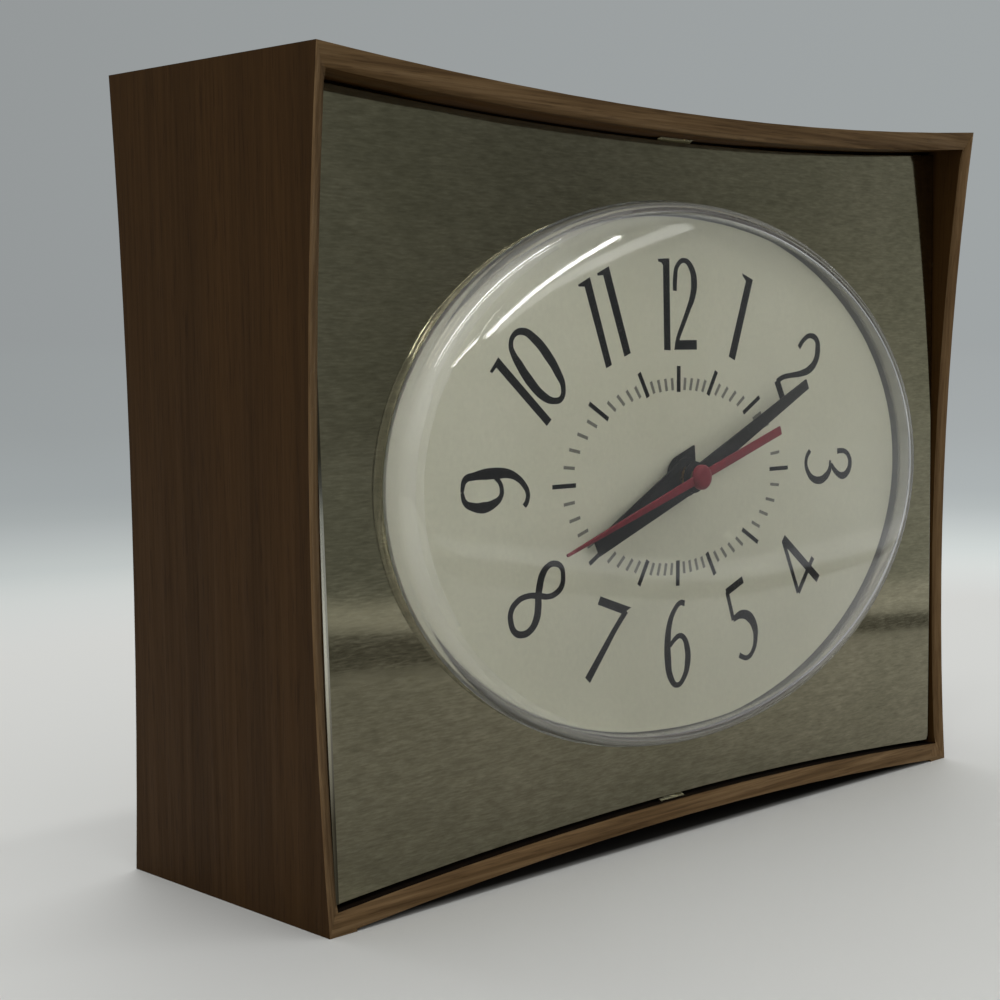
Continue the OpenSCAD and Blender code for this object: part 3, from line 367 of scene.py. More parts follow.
# Painted shade: a near-black brown for the recess's floor and the wall behind the plate, standing in for the shadow
# there.
recess_painted_shade = stock("recess_painted_shade", (0.004, 0.002, 0.0008), (0.008, 0.004, 0.0014), 500, (0.6, 0.75), 0.006, 0.05)
bronze_face = brushed_face()
rolled_edge = roll_with_painted_reflection()
lens_plastic = clear_lens("clear_lens", 1.0)
lens_shoulder = clear_lens("clear_lens_shoulder", 0.9)

card = dial_card()
ink_black = stock("dial_ink", (0.006, 0.006, 0.007), (0.012, 0.012, 0.013), 1800, (0.5, 0.65), 0.003, 0.1)
ink_grey = stock("minute_ink", (0.2, 0.197, 0.162), (0.25, 0.246, 0.207), 1800, (0.5, 0.65), 0.003, 0.1)
hand_black = stock("hand_black_enamel", (0.006, 0.006, 0.006), (0.011, 0.011, 0.0105), 900, (0.4, 0.55), 0.004, 0.2)
hand_red = stock("hand_red_enamel", (0.19, 0.0095, 0.021), (0.24, 0.014, 0.028), 900, (0.34, 0.46), 0.004, 0.3)

pan_white = stock("pan_white_moulding", (0.66, 0.655, 0.62), (0.74, 0.735, 0.7), 260, (0.4, 0.55))
black_moulding = stock("black_moulding", (0.012, 0.011, 0.011), (0.022, 0.021, 0.02), 700, (0.2, 0.34), 0.006)
black_rubber = stock("black_rubber", (0.014, 0.014, 0.014), (0.026, 0.026, 0.025), 800, (0.6, 0.75))
bobbin_tan = stock("bobbin_fibre", (0.3, 0.2, 0.1), (0.4, 0.28, 0.15), 600, (0.5, 0.65))
coil_tape = stock("coil_tape", (0.2, 0.06, 0.02), (0.3, 0.1, 0.035), 500, (0.3, 0.45), 0.03, stretch=(6, 0.4, 0.4))
lamp_clear = stock("lamp_glass", (0.93, 0.92, 0.86), (0.98, 0.97, 0.93), 300, (0.02, 0.06), 0.002)
lamp_clear.node_tree.nodes["Principled BSDF"].inputs["Transmission Weight"].default_value = 1.0

plated = metal_stock("plated_steel", (0.5, 0.5, 0.49), (0.62, 0.62, 0.6), 900, (0.26, 0.4), stretch=(0.08, 1, 1))
brass = metal_stock("wheel_brass", (0.56, 0.38, 0.15), (0.68, 0.48, 0.2), 700, (0.24, 0.38))
screw_steel = metal_stock("screw_steel", (0.42, 0.42, 0.41), (0.54, 0.54, 0.53), 1200, (0.28, 0.42))
arbor_steel = metal_stock("arbor_steel", (0.48, 0.48, 0.48), (0.6, 0.6, 0.6), 1400, (0.2, 0.3), 0.003, (1, 0.06, 1))
spring_bronze = metal_stock("spring_bronze", (0.42, 0.27, 0.14), (0.54, 0.36, 0.2), 900, (0.26, 0.36), 0.003)
copper_can = metal_stock("copper_can", (0.5, 0.24, 0.12), (0.62, 0.33, 0.19), 500, (0.26, 0.4), 0.006)
core_iron = metal_stock("core_iron", (0.2, 0.2, 0.205), (0.3, 0.3, 0.305), 900, (0.4, 0.55), 0.01, (0.3, 4, 0.3))
ring_copper = metal_stock("ring_copper", (0.55, 0.27, 0.15), (0.66, 0.36, 0.22), 900, (0.22, 0.35))

# ---------------------------------------------------------------- case
RIM_LEVEL, ARCH_FROM = 18 * MM, 49 * MM
INSIDE_LOW, INSIDE_HIGH, CASE_ARCH = 6.3 * MM, 113.7 * MM, 980 * MM
SIDE, LEVEL, SIDE_RIM, LEVEL_RIM, RECESS_SHADE = range(5)


def arch_rise(across, radius):
    """How far an arched edge has left the level of its middle, at a distance across from it."""
    return across * across / (2 * radius)


def case_part(face):
    """Names the outer part of the case that a face belongs to, or None inside."""
    x, y, z = face.center
    if abs(x) > CASE_HALF_WIDTH - 0.2 * MM and abs(face.normal.x) > 0.9:
        return "side"
    if abs(y) > RIM_LEVEL and face.normal.y * y > 0.6 * abs(y):
        return "rim"
    above = z - FACE_CENTRE.z
    if abs(face.normal.z) > 0.8 and face.normal.z * above > 0 and abs(above) > ARCH_FROM:
        return "level"
    return None


def case_finish(face):
    """Grain along each wall; painted sheen makes the rims lighter, and painted shade, near black, covers the recess's
    floor and the wall behind the plate.
    """
    x, y, z = face.center
    rise = arch_rise(x, CASE_ARCH)
    beside = abs(x) > CASE_HALF_WIDTH - SIDE_WALL - 0.4 * MM
    within = abs(x) < CASE_HALF_WIDTH - SIDE_WALL - 0.1 * MM and INSIDE_LOW - rise < z < INSIDE_HIGH + rise
    forward = face.normal.y < -0.6
    rim = forward and y < -RIM_LEVEL and not within
    recess_floor = face.normal.z > 0.5 and z < FACE_CENTRE.z and not beside
    if recess_floor or (forward and not rim):
        return RECESS_SHADE
    if rim:
        return SIDE_RIM if beside else LEVEL_RIM
    return SIDE if beside else LEVEL


case = dressed_copy("case_shell", "case_moulding")
round_marked_edges(case, case_part, 0.6)
smooth(case, 32)
steady_normals(case)
coat(case, side_grain, level_grain, side_rim_grain, level_rim_grain, recess_painted_shade)
for face in case.data.polygons:
    face.material_index = case_finish(face)
fit(case, "case")

back_board = dressed_copy("back_cover", "back_cover_board", 0.15)
coat(back_board, level_grain)
fit(back_board, "case")

# ---------------------------------------------------------------- face plate
PLATE_SIDE, PLATE_TOP, PLATE_BOTTOM, PLATE_ARCH = 76.0, 53.2, -52.8, 980.6
EDGE_DEPTH, SLACK, TAB_PAST, TAB_FORWARD, ROLL_FROM = 1.6, 0.1, 0.75, 0.7, 70
ARCH_ROLL, SIDE_ROLL = (0.25, 0.45), (0.75, 0.55)


def rolled(inset, roll):
    """How far inside the outline a point of the roll ends: a share of its depth, less the distance drawn out."""
    share, drawn_out = roll
    return share * inset - drawn_out


def draw_out_edges(sheet):
    """Draws the edges out to a narrow gap, with a tighter roll at the arches, and bends the tabs forward."""
    sheet.data.transform(ON_FACE.inverted())
    for vertex in sheet.data.vertices:
        x, z = vertex.co.x / MM, vertex.co.z / MM
        outward = 1 if z > 0 else -1
        edge = (PLATE_TOP if z > 0 else PLATE_BOTTOM) + outward * arch_rise(x, PLATE_ARCH)
        inset = outward * (edge - z)
        if -SLACK < inset < EDGE_DEPTH:
            vertex.co.z = (edge - outward * rolled(inset, ARCH_ROLL)) * MM
        elif inset <= -SLACK:
            vertex.co.z = (edge + outward * TAB_PAST) * MM
            vertex.co.y -= TAB_FORWARD * MM
        inset = PLATE_SIDE - abs(x)
        if -SLACK < inset < EDGE_DEPTH:
            vertex.co.x = math.copysign(PLATE_SIDE - rolled(inset, SIDE_ROLL), x) * MM
    sheet.data.transform(ON_FACE)


plate = dressed_copy("face_plate", "brushed_face_plate", smooth_at=40)
draw_out_edges(plate)
coat(plate, bronze_face, rolled_edge)
facing = ON_FACE.to_3x3() @ Vector((0, -1, 0))
for face in plate.data.polygons:
    face.material_index = 1 if abs(face.center.x) > ROLL_FROM * MM and face.normal.dot(facing) < 0.99 else 0
steady_normals(plate)
fit(plate, "case")

# ---------------------------------------------------------------- lens
LENS_A, LENS_B, LENS_WALL, LENS_SIDE, LENS_ROLL, LENS_CROWN, LENS_FLANGE = 64.5, 44.0, 1.5, 1.0, 4.6, 2.75, 4.4
FLANGE_FRONT, FLANGE_BACK, FILLET, ROLL_END, SHOULDER_FROM = 0.6, 1.6, 0.3, 80, 0.957
CROWN_STEPS, ROLL_STEPS, SIDES = 14, 12, 192


def dome_rings(radius):
    """Half width, half height and level of each ring, from the crown down to the straight side."""
    spine_a, spine_b = LENS_A - LENS_ROLL, LENS_B - LENS_ROLL
    end = math.radians(ROLL_END)
    crown_a, crown_b = spine_a + radius * math.cos(end), spine_b + radius * math.cos(end)
    base = -LENS_SIDE - radius * math.sin(end)
    rings = []
    for step in range(1, CROWN_STEPS + 1):
        s = step / CROWN_STEPS
        rings.append((crown_a * s, crown_b * s, base - LENS_CROWN * (1 - s ** 3)))
    for step in range(1, ROLL_STEPS + 1):
        t = end * (1 - step / ROLL_STEPS)
        out, forward = radius * math.cos(t), radius * math.sin(t)
        rings.append((spine_a + out, spine_b + out, -LENS_SIDE - forward))
    return rings


def spin_rings(rings, sides):
    """Starts from a filled ring and draws the skin on, ring by ring, to the last one."""
    put_down()
    bpy.ops.mesh.primitive_circle_add(vertices=sides, radius=MM, fill_type="TRIFAN", rotation=(math.pi / 2, 0, 0))
    skin = bpy.context.object
    pick_up(skin)
    bpy.ops.object.transform_apply(location=True, rotation=True, scale=True)
    edit(skin)
    a, b, level = rings[0]
    bpy.ops.transform.resize(value=(a, 1, b), center_override=(0, 0, 0))
    bpy.ops.transform.translate(value=(0, level * MM, 0))
    done()
    for vertex in skin.data.vertices:
        vertex.select = vertex.co.x ** 2 + vertex.co.z ** 2 > (0.5 * b * MM) ** 2
    for edge in skin.data.edges:
        edge.select = all(skin.data.vertices[i].select for i in edge.vertices)
    for face in skin.data.polygons:
        face.select = False
    edit_edges()
    for a2, b2, level2 in rings[1:]:
        bpy.ops.mesh.extrude_edges_move(TRANSFORM_OT_translate={"value": (0, (level2 - level) * MM, 0)})
        bpy.ops.transform.resize(value=(a2 / a, 1, b2 / b), center_override=(0, 0, 0))
        a, b, level = a2, b2, level2
    done()
    return skin


outer = spin_rings(dome_rings(LENS_ROLL) + [
    (LENS_A, LENS_B, FLANGE_FRONT - FILLET), (LENS_A + FILLET, LENS_B + FILLET, FLANGE_FRONT),
    (LENS_A + LENS_FLANGE, LENS_B + LENS_FLANGE, FLANGE_FRONT),
    (LENS_A + LENS_FLANGE, LENS_B + LENS_FLANGE, FLANGE_BACK)], SIDES)
inner = spin_rings(dome_rings(LENS_ROLL - LENS_WALL) + [(LENS_A - LENS_WALL, LENS_B - LENS_WALL, FLANGE_BACK)], SIDES)
edit(inner)
bpy.ops.mesh.flip_normals()
done()
lens = join([outer, inner], "clear_dial_lens")
edit(lens)
bpy.ops.mesh.select_all(action="DESELECT")
done()
for edge in lens.data.edges:
    ends = [lens.data.vertices[i].co.y for i in edge.vertices]
    edge.select = min(ends) > (FLANGE_BACK - 0.01) * MM
for vertex in lens.data.vertices:
    vertex.select = vertex.co.y > (FLANGE_BACK - 0.01) * MM
edit_edges()
bpy.ops.mesh.bridge_edge_loops()
turn_outward()
done()
coat(lens, lens_plastic, lens_shoulder)
for face in lens.data.polygons:
    out = math.hypot(face.center.x / LENS_A, face.center.z / LENS_B) / MM
    face.material_index = 1 if out > SHOULDER_FROM else 0
lens.data.transform(ON_FACE)
smooth(lens, 40)
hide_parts("lens")
fit(lens, "case")


# ---------------------------------------------------------------- dial print
def stroke(*points, closed=False):
    """A pen stroke on the dial through (across, up, width) in mm, laid almost flat."""
    put_down()
    bpy.ops.curve.primitive_bezier_curve_add()
    line = bpy.context.object
    spline = line.data.splines[0]
    spline.bezier_points.add(len(points) - 2)
    for knot, (x, v, width) in zip(spline.bezier_points, points):
        knot.co = (x * MM, 0, v * MM)
        knot.radius = width / 2
        knot.handle_left_type = "AUTO"
        knot.handle_right_type = "AUTO"
    spline.use_cyclic_u = closed
    spline.resolution_u = 8
    line.data.bevel_depth = MM
    line.data.bevel_resolution = 2
    line.data.use_fill_caps = True
    pick_up(line)
    bpy.ops.object.convert(target="MESH")
    ribbon = bpy.context.object
    ribbon.data.transform(Matrix.Diagonal((1, 0.03, 1, 1)))
    ribbon.data.transform(Matrix.Translation((0, DIAL_FRONT * MM, 0)))
    return ribbon


def patch(*corners):
    """A filled shape on the dial, raised by the thickness of the ink."""
    put_down()
    bpy.ops.mesh.primitive_circle_add(vertices=len(corners), radius=MM, fill_type="NGON")
    shape = bpy.context.object
    for vertex, (x, v) in zip(shape.data.vertices, corners):
        vertex.co = (x * MM, (DIAL_FRONT - INK) * MM, v * MM)
    edit(shape)
    bpy.ops.mesh.extrude_region_move(TRANSFORM_OT_translate={"value": (0, 2 * INK * MM, 0)})
    turn_outward()
    done()
    return shape


def bar(start, end, width):
    """A straight stroke of even width from start to end."""
    (x0, v0), (x1, v1) = start, end
    length = math.hypot(x1 - x0, v1 - v0)
    nx, nv = (v0 - v1) / length * width / 2, (x1 - x0) / length * width / 2
    return patch((x0 + nx, v0 + nv), (x1 + nx, v1 + nv), (x1 - nx, v1 - nv), (x0 - nx, v0 - nv))


def numeral(number, *strokes):
    """Joins the strokes of one hour's numeral and prints it on the dial."""
    mark = join(list(strokes), "numeral_%02d" % number)
    mark.data.transform(ON_FACE)
    smooth(mark, 30)
    coat(mark, ink_black)
    fit(mark, "case")


numeral(12,
        patch((-4.45, 34.95), (-4.3, 34.5), (-3.6, 34.4), (-3.2, 34.0), (-3.15, 20.6), (-1.55, 20.5), (-1.6, 35.1)),
        stroke((-0.3, 30, 1.0), (-0.2, 32, 1.1), (0.4, 34, 0.9), (2.2, 34.85, 0.8), (4.0, 33.6, 1.3), (4.6, 31.4, 1.6),
               (4.2, 29.2, 1.4), (3.2, 27.3, 1.1), (1.8, 24.9, 1.0), (0.5, 22.7, 0.95), (0, 21.4, 0.9)),
        patch((-0.6, 20.6), (5.15, 20.6), (5.15, 22.15), (0.5, 22.15), (-0.3, 22.0)))
numeral(1, patch((17.35, 33.15), (17.55, 32.65), (18.35, 31.9), (13.55, 19.4), (15.2, 18.75), (20.25, 32.15),
                 (19.8, 32.3)))
numeral(2,
        stroke((33.3, 20.8, 1.0), (34.6, 22.0, 0.9), (36.6, 22.8, 0.9), (38.6, 22.0, 1.2), (38.9, 20.4, 1.5),
               (38.3, 18.5, 1.4), (36.5, 17.0, 1.4), (34, 16.3, 1.1), (31, 16, 0.9), (28.6, 15.7, 0.9),
               (26.9, 15.0, 1.0)),
        bar((26.9, 15.2), (29.2, 10.8), 1.5))
numeral(3,
        stroke((36.6, 2.7, 0.9), (35.6, 1.5, 0.9), (35.4, 0.2, 0.9), (36.0, -1.1, 1.0), (37.2, -2.2, 1.2),
               (39.3, -2.75, 1.4), (41.3, -2.2, 1.4), (42.6, -0.9, 1.1), (42.7, 0.7, 0.5)),
        stroke((43.0, 0, 0.8), (43.9, -1.0, 1.0), (45.2, -1.9, 1.1), (46.6, -2.3, 1.3), (48.2, -1.6, 1.3),
               (48.9, -0.2, 1.2), (48.5, 1.2, 1.0), (47.2, 2.1, 0.9), (46, 2.25, 0.95), (44.9, 2.2, 1.0)))
numeral(4, bar((28.6, -12.4), (39.0, -20.5), 1.5), bar((28.6, -12.8), (33.0, -22.4), 0.9),
        bar((33.0, -22.4), (37.4, -16.5), 1.0))
numeral(5, bar((12.4, -20.4), (17.0, -18.6), 1.3), bar((12.6, -20.3), (14.3, -25.3), 0.9),
        stroke((14.3, -25.2, 1.0), (16.5, -24.6, 1.5), (18.8, -25.3, 1.8), (20.3, -27.3, 1.6), (20.5, -29, 1.2),
               (19.8, -31.2, 1.0), (18.2, -32.3, 0.9), (16.7, -32.0, 0.9), (15.9, -31.6, 1.0)))
numeral(6, stroke((1.3, -21.1, 1.0), (0.2, -20.9, 0.9), (-1.4, -22, 1.0), (-2.6, -24, 1.3), (-3.2, -27, 1.6),
                  (-3.2, -30, 1.7), (-2.6, -33, 1.4), (-0.9, -34.6, 0.9), (0.9, -33.5, 1.1), (1.9, -31, 1.5),
                  (1.8, -28.6, 1.4), (0.9, -26.8, 1.0), (-0.2, -26.4, 0.9), (-1.3, -26.8, 0.9), (-2.6, -27.8, 0.8)))
numeral(7, patch((-19.5, -17.85), (-20.2, -19.1), (-14.4, -21.2), (-12.2, -20.4)),
        stroke((-13.4, -20.8, 1.1), (-16, -23.3, 1.1), (-19, -26.6, 1.3), (-22.9, -30.9, 1.5)))
numeral(8,
        stroke((-33.6, -16.3, 1.4), (-33.3, -15, 1.5), (-32.6, -13.2, 1.4), (-31.2, -11.95, 1.0), (-29.8, -11.75, 0.95),
               (-28.4, -12.4, 1.0), (-28.0, -13.8, 1.0), (-28.4, -15.4, 1.1), (-29.8, -16.4, 1.0), (-31.4, -16.7, 0.9),
               (-33.4, -16.4, 1.0), (-36, -16.2, 0.9), (-38.2, -16.8, 1.0), (-39.6, -18.2, 1.1), (-39.7, -19.8, 1.15),
               (-38.9, -21.4, 1.1), (-37.2, -21.95, 1.1), (-35.4, -21.4, 1.2), (-34.1, -19.8, 1.5), (-33.7, -18, 1.5),
               closed=True))
numeral(9,
        stroke((-49.1, 0.3, 0.7), (-48.4, 2.1, 1.1), (-46.5, 2.55, 1.2), (-44, 2.75, 1.7), (-41.5, 2.75, 1.7),
               (-39.5, 2.6, 1.4), (-37.6, 1.9, 1.1), (-36.2, 0.8, 1.0), (-35.4, -0.5, 0.95), (-35.6, -1.8, 0.9),
               (-36.2, -2.5, 0.9)),
        stroke((-49.1, 0.3, 0.7), (-48.5, -1.2, 1.0), (-47, -1.9, 1.3), (-44.8, -2.15, 1.7), (-42.6, -1.7, 1.3),
               (-41.1, -0.7, 0.9), (-40.9, 0.3, 0.9), (-41.3, 1.4, 0.8), (-42.2, 2.1, 0.7)))
numeral(10,
        patch((-42.75, 17.7), (-40.9, 19.75), (-29.85, 10.3), (-30.9, 9.35), (-41.35, 18.25), (-42.25, 17.45)),
        stroke((-38.2, 21.4, 1.0), (-37.6, 22.9, 0.9), (-35.6, 23.5, 1.1), (-33, 22.3, 1.5), (-30.5, 20.1, 1.7),
               (-28.2, 17.3, 1.5), (-27.1, 15.2, 1.1), (-27.5, 13.5, 1.0), (-29.1, 13.1, 1.0), (-31.4, 13.8, 1.4),
               (-34.5, 16.3, 1.7), (-36.6, 18.7, 1.5), (-37.8, 20.3, 1.1), closed=True))
numeral(11,
        patch((-23.35, 30.55), (-20.6, 31.75), (-15.85, 18.35), (-17.2, 17.85), (-21.85, 30.3), (-23.1, 30.25)),
        patch((-18.95, 32.35), (-16.2, 33.5), (-11.35, 20.15), (-12.85, 19.6), (-17.55, 32.1), (-18.8, 32.0)))

MARK_SHEAR = 0.025
HOUR_INNER, HOUR_OUTER = (24.7, 13.8), (30.0, 18.0)
MINUTE_INNER, MINUTE_OUTER = (25.4, 14.1), (27.9, 16.1)
HOUR_WIDTHS = (0.95, 0.85, 0.75, 0.7, 0.75, 0.85) * 2


def on_oval(degrees, half_width, half_height):
    """The point of an oval in one direction from the centre, shifted a little along with the print."""
    across, up = math.sin(math.radians(degrees)), math.cos(math.radians(degrees))
    reach = 1 / math.hypot(across / half_width, up / half_height)
    return (reach * across + MARK_SHEAR * reach * up, reach * up)


def track(name, degrees, inner_oval, outer_oval, widths, ink):
    """Prints a ring of marks between two ovals, one at each of the directions."""
    marks = [bar(on_oval(a, *inner_oval), on_oval(a, *outer_oval), w) for a, w in zip(degrees, widths)]
    piece = join(marks, name)
    piece.data.transform(ON_FACE)
    coat(piece, ink)
    fit(piece, "case")


hours = range(0, 360, 30)
minutes = [degrees for degrees in range(0, 360, 6) if degrees not in hours]
minute_widths = [0.5 + 0.12 * abs(math.cos(math.radians(degrees))) for degrees in minutes]
track("hour_marks", hours, HOUR_INNER, HOUR_OUTER, HOUR_WIDTHS, ink_black)
track("minute_marks", minutes, MINUTE_INNER, MINUTE_OUTER, minute_widths, ink_grey)

# ---------------------------------------------------------------- hands and knobs
SECOND_ANGLE = math.radians(252.4)
SLIM_FROM, SLIM_TO, SLIMMER = 4.0, 33.6, 0.45
CAP_RINGS = [(0.7, 0.7, -4.95), (1.35, 1.35, -4.88), (1.8, 1.8, -4.7), (2.02, 2.02, -4.4), (2.03, 2.03, -3.9)]


def slim_tip(hand):
    """Draws the second hand's pointer out to a fine tip."""
    hand.data.transform(ON_FACE.inverted())
    s, c = math.sin(SECOND_ANGLE), math.cos(SECOND_ANGLE)
    for vertex in hand.data.vertices:
        along, across = vertex.co.x * s + vertex.co.z * c, vertex.co.x * c - vertex.co.z * s
        past = (along / MM - SLIM_FROM) / (SLIM_TO - SLIM_FROM)
        if past > 0:
            across *= 1 - SLIMMER * past
            vertex.co.x, vertex.co.z = along * s + across * c, along * c - across * s
    hand.data.transform(ON_FACE)


def hub_cap():
    """A shallow red boss that closes the second hand's hub over the end of its arbor."""
    cap = spin_rings(CAP_RINGS, 64)
    pick_up(cap)
    edit_edges()
    bpy.ops.mesh.edge_face_add()
    turn_outward()
    done()
    cap.data.transform(ON_FACE)
    smooth(cap, 50)
    return cap


for node, name, body, ink, slot in (("hour_hand", "hour_hand_blade", "hour", hand_black, "black_hand"),
                                    ("minute_hand", "minute_hand_blade", "minute", hand_black, "black_hand"),
                                    ("alarm_hand", "alarm_hand_disc", "alarm", hand_black, "black_hand"),
                                    ("second_hand", "second_hand_pointer", "second", hand_red, "red_hand")):
    blade = dressed_copy(node, name, 0.08, 50)
    if node == "second_hand":
        slim_tip(blade)
        blade = join([blade, hub_cap()], name)
    coat(blade, ink)
    fit(blade, body)

for node, name, body in (("time_knob", "time_setting_knob", "time_set"),
                         ("alarm_knob", "alarm_setting_knob", "alarm_set"),
                         ("alarm_pull_knob", "alarm_pull_button", "alarm_pull")):
    knob = dressed_copy(node, name, 0.12, 40)
    coat(knob, black_moulding)
    fit(knob, body)

# ---------------------------------------------------------------- the rest keep their machined shapes
KEPT = {
    card: ["dial"],
    pan_white: ["reflector_pan"],
    plated: ["front_frame_plate", "back_frame_plate", "pan_nuts"],
    brass: ["centre_bush", "frame_pillars", "seconds_wheel", "minute_tube", "minute_wheel", "intermediate_wheel",
            "motion_wheel", "hour_wheel", "alarm_wheel", "reed_post", "coil_terminals", "lamp_base"],
    screw_steel: ["pillar_screws", "pan_screws", "stator_screws", "cover_screws"],
    arbor_steel: ["second_arbor", "motion_stud", "time_set_shaft", "alarm_set_shaft", "rotor_pinion", "alarm_plunger"],
    spring_bronze: ["clutch_spring", "buzzer_reed"],
    copper_can: ["rotor_can"],
    core_iron: ["stator_core"],
    bobbin_tan: ["coil_bobbin"],
    coil_tape: ["field_coil"],
    ring_copper: ["shading_rings"],
    black_moulding: ["lamp_socket"],
    lamp_clear: ["lamp_glass"],
    black_rubber: ["cord_grommet"],
}
for finish, nodes_kept in KEPT.items():
    for node in nodes_kept:
        coat(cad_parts[node], finish)

# ---------------------------------------------------------------- stage
ACROSS, DEEP = (1, 0, 0), (0, 1, 0)
CLEAR_FLOOR = 0.26


def vector_step(tree, how, vector, other=(0, 0, 0), out="Value"):
    step = tree.nodes.new("ShaderNodeVectorMath")
    step.operation = how
    step.inputs[1].default_value = other
    tree.links.new(vector, step.inputs[0])
    return step.outputs[out]


def dot(tree, vector, direction):
    return vector_step(tree, "DOT_PRODUCT", vector, direction)


def times(tree, first, second):
    step = tree.nodes.new("ShaderNodeMath")
    step.operation = "MULTIPLY"
    tree.links.new(first, step.inputs[0])
    tree.links.new(second, step.inputs[1])
    return step.outputs[0]


def share_of(tree, whole, value):
    """The whole divided by the value."""
    step = tree.nodes.new("ShaderNodeMath")
    step.operation = "DIVIDE"
    step.inputs[0].default_value = whole
    tree.links.new(value, step.inputs[1])
    return step.outputs[0]


def nearness(tree, value, half, fade):
    """One inside a band of half width around zero, falling to nothing over the fade beside it."""
    size = tree.nodes.new("ShaderNodeMath")
    size.operation = "ABSOLUTE"
    tree.links.new(value, size.inputs[0])
    return spread(tree, size.outputs[0], half, half + fade, 1.0, 0.0)


def added(tree, first, second):
    return blend_colours(tree, "ADD", 1.0, first, second)


def glow(tree, colour):
    shine = tree.nodes.new("ShaderNodeEmission")
    tree.links.new(colour, shine.inputs["Color"])
    return shine.outputs["Emission"]


def sky(tree, colour):
    part = tree.nodes.new("ShaderNodeBackground")
    tree.links.new(colour, part.inputs["Color"])
    return part.outputs["Background"]


def lay_over(tree, amount, under, over):
    mix = tree.nodes.new("ShaderNodeMixShader")
    tree.links.new(amount, mix.inputs["Fac"])
    tree.links.new(under, mix.inputs[1])
    tree.links.new(over, mix.inputs[2])
    return mix.outputs["Shader"]


def table_colour_and_painted_shadow(tree, where, glossy):
    """The table's colour: pale; dimmer on the right in mirrors, a painted reflection; and a painted shadow, near black,
    in the slit under the clock.
    """
    across, deep = dot(tree, where, ACROSS), dot(tree, where, DEEP)
    paint = tree.nodes.new("ShaderNodeMix")
    paint.data_type = "RGBA"
    paint.inputs[6].default_value = (0.725, 0.73, 0.705, 1)
    in_mirrors = shades(tree, across, (0.06, (0.3, 0.3, 0.305)), (0.2, (0.42, 0.425, 0.435)))
    tree.links.new(in_mirrors, paint.inputs[7])
    before = spread(tree, across, -0.11, -0.05, 0.0, 1.0)
    tree.links.new(times(tree, before, glossy), paint.inputs[0])
    # Painted shadow: the table is darkened to near black in the slit under the clock.
    below = times(tree, nearness(tree, across, 0.0765, 0.002), nearness(tree, deep, 0.0225, 0.002))
    return tinted(tree, paint.outputs[2], shades(tree, below, (0.0, (1, 1, 1)), (1.0, (0.08, 0.075, 0.07))))


def far_table(tree, reach, rightward):
    """What the camera sees of the table away from the clock: it fades into the wall, by one over the distance."""
    near = share_of(tree, CLEAR_FLOOR, reach)
    colour = shades(tree, near, (0.0, (0.348, 0.369, 0.374)), (0.05, (0.36, 0.384, 0.388)),
                    (0.2, (0.376, 0.402, 0.406)), (0.3, (0.4, 0.43, 0.435)), (0.382, (0.415, 0.447, 0.452)),
                    (0.452, (0.455, 0.49, 0.49)), (0.505, (0.51, 0.545, 0.545)), (0.605, (0.6, 0.64, 0.63)),
                    (0.765, (0.7, 0.745, 0.73)), (1.0, (0.75, 0.79, 0.785)))
    return tinted(tree, colour, shades(tree, rightward, (0.45, (0.84, 0.84, 0.84)), (0.9, (1, 1, 1))))


def table_edge(tree, where, rightward):
    """What the face plate mirrors past the table's edge: a dark band, a light strip, then the room's floor."""
    line = dot(tree, where, (0.822, -0.571, 0))
    edge = shades(tree, line, (0.27, (0.11, 0.11, 0.105)), (0.345, (0.11, 0.11, 0.105)),
                  (0.362, (0.52, 0.53, 0.545)), (0.465, (0.52, 0.53, 0.545)), (0.482, (0, 0, 0)))
    past = shades(tree, line, (0.465, (0, 0, 0)), (0.482, (1, 1, 1)))
    room = shades(tree, rightward, (0.58, (0.19, 0.2, 0.2)), (0.7, (0.19, 0.2, 0.2)), (0.86, (0.34, 0.355, 0.36)))
    return added(tree, edge, tinted(tree, past, room))


def floor_finish():
    """Pale table paint near the clock, with a painted shadow under it and a dimmer painted reflection for mirrors;
    further off, the camera and the mirrors each see their own surroundings.
    """
    finish, tree, shader = new_finish("pale_floor_with_painted_shadow")
    nodes, links = tree.nodes, tree.links
    where = nodes.new("ShaderNodeTexCoord").outputs["Object"]
    ray = nodes.new("ShaderNodeLightPath").outputs
    bearing = nodes.new("ShaderNodeSeparateXYZ")
    links.new(vector_step(tree, "NORMALIZE", where, out="Vector"), bearing.inputs[0])
    rightward = bearing.outputs["X"]
    reach = vector_step(tree, "LENGTH", vector_step(tree, "SUBTRACT", where, (0.06, -0.05, 0), "Vector"))
    shader.inputs["Roughness"].default_value = 0.6
    shader.inputs["Specular IOR Level"].default_value = 0.25
    links.new(table_colour_and_painted_shadow(tree, where, ray["Is Glossy Ray"]), shader.inputs["Base Color"])
    far = times(tree, spread(tree, reach, CLEAR_FLOOR, 0.4, 0.0, 1.0), ray["Is Camera Ray"])
    seen = lay_over(tree, far, shader.outputs["BSDF"], glow(tree, far_table(tree, reach, rightward)))
    past_edge = spread(tree, dot(tree, where, (0.561, -0.828, 0)), 0.266, 0.276, 0.0, 1.0)
    mirrored = times(tree, past_edge, ray["Is Glossy Ray"])
    whole = lay_over(tree, mirrored, seen, glow(tree, table_edge(tree, where, rightward)))
    links.new(whole, nodes["Material Output"].inputs["Surface"])
    return finish


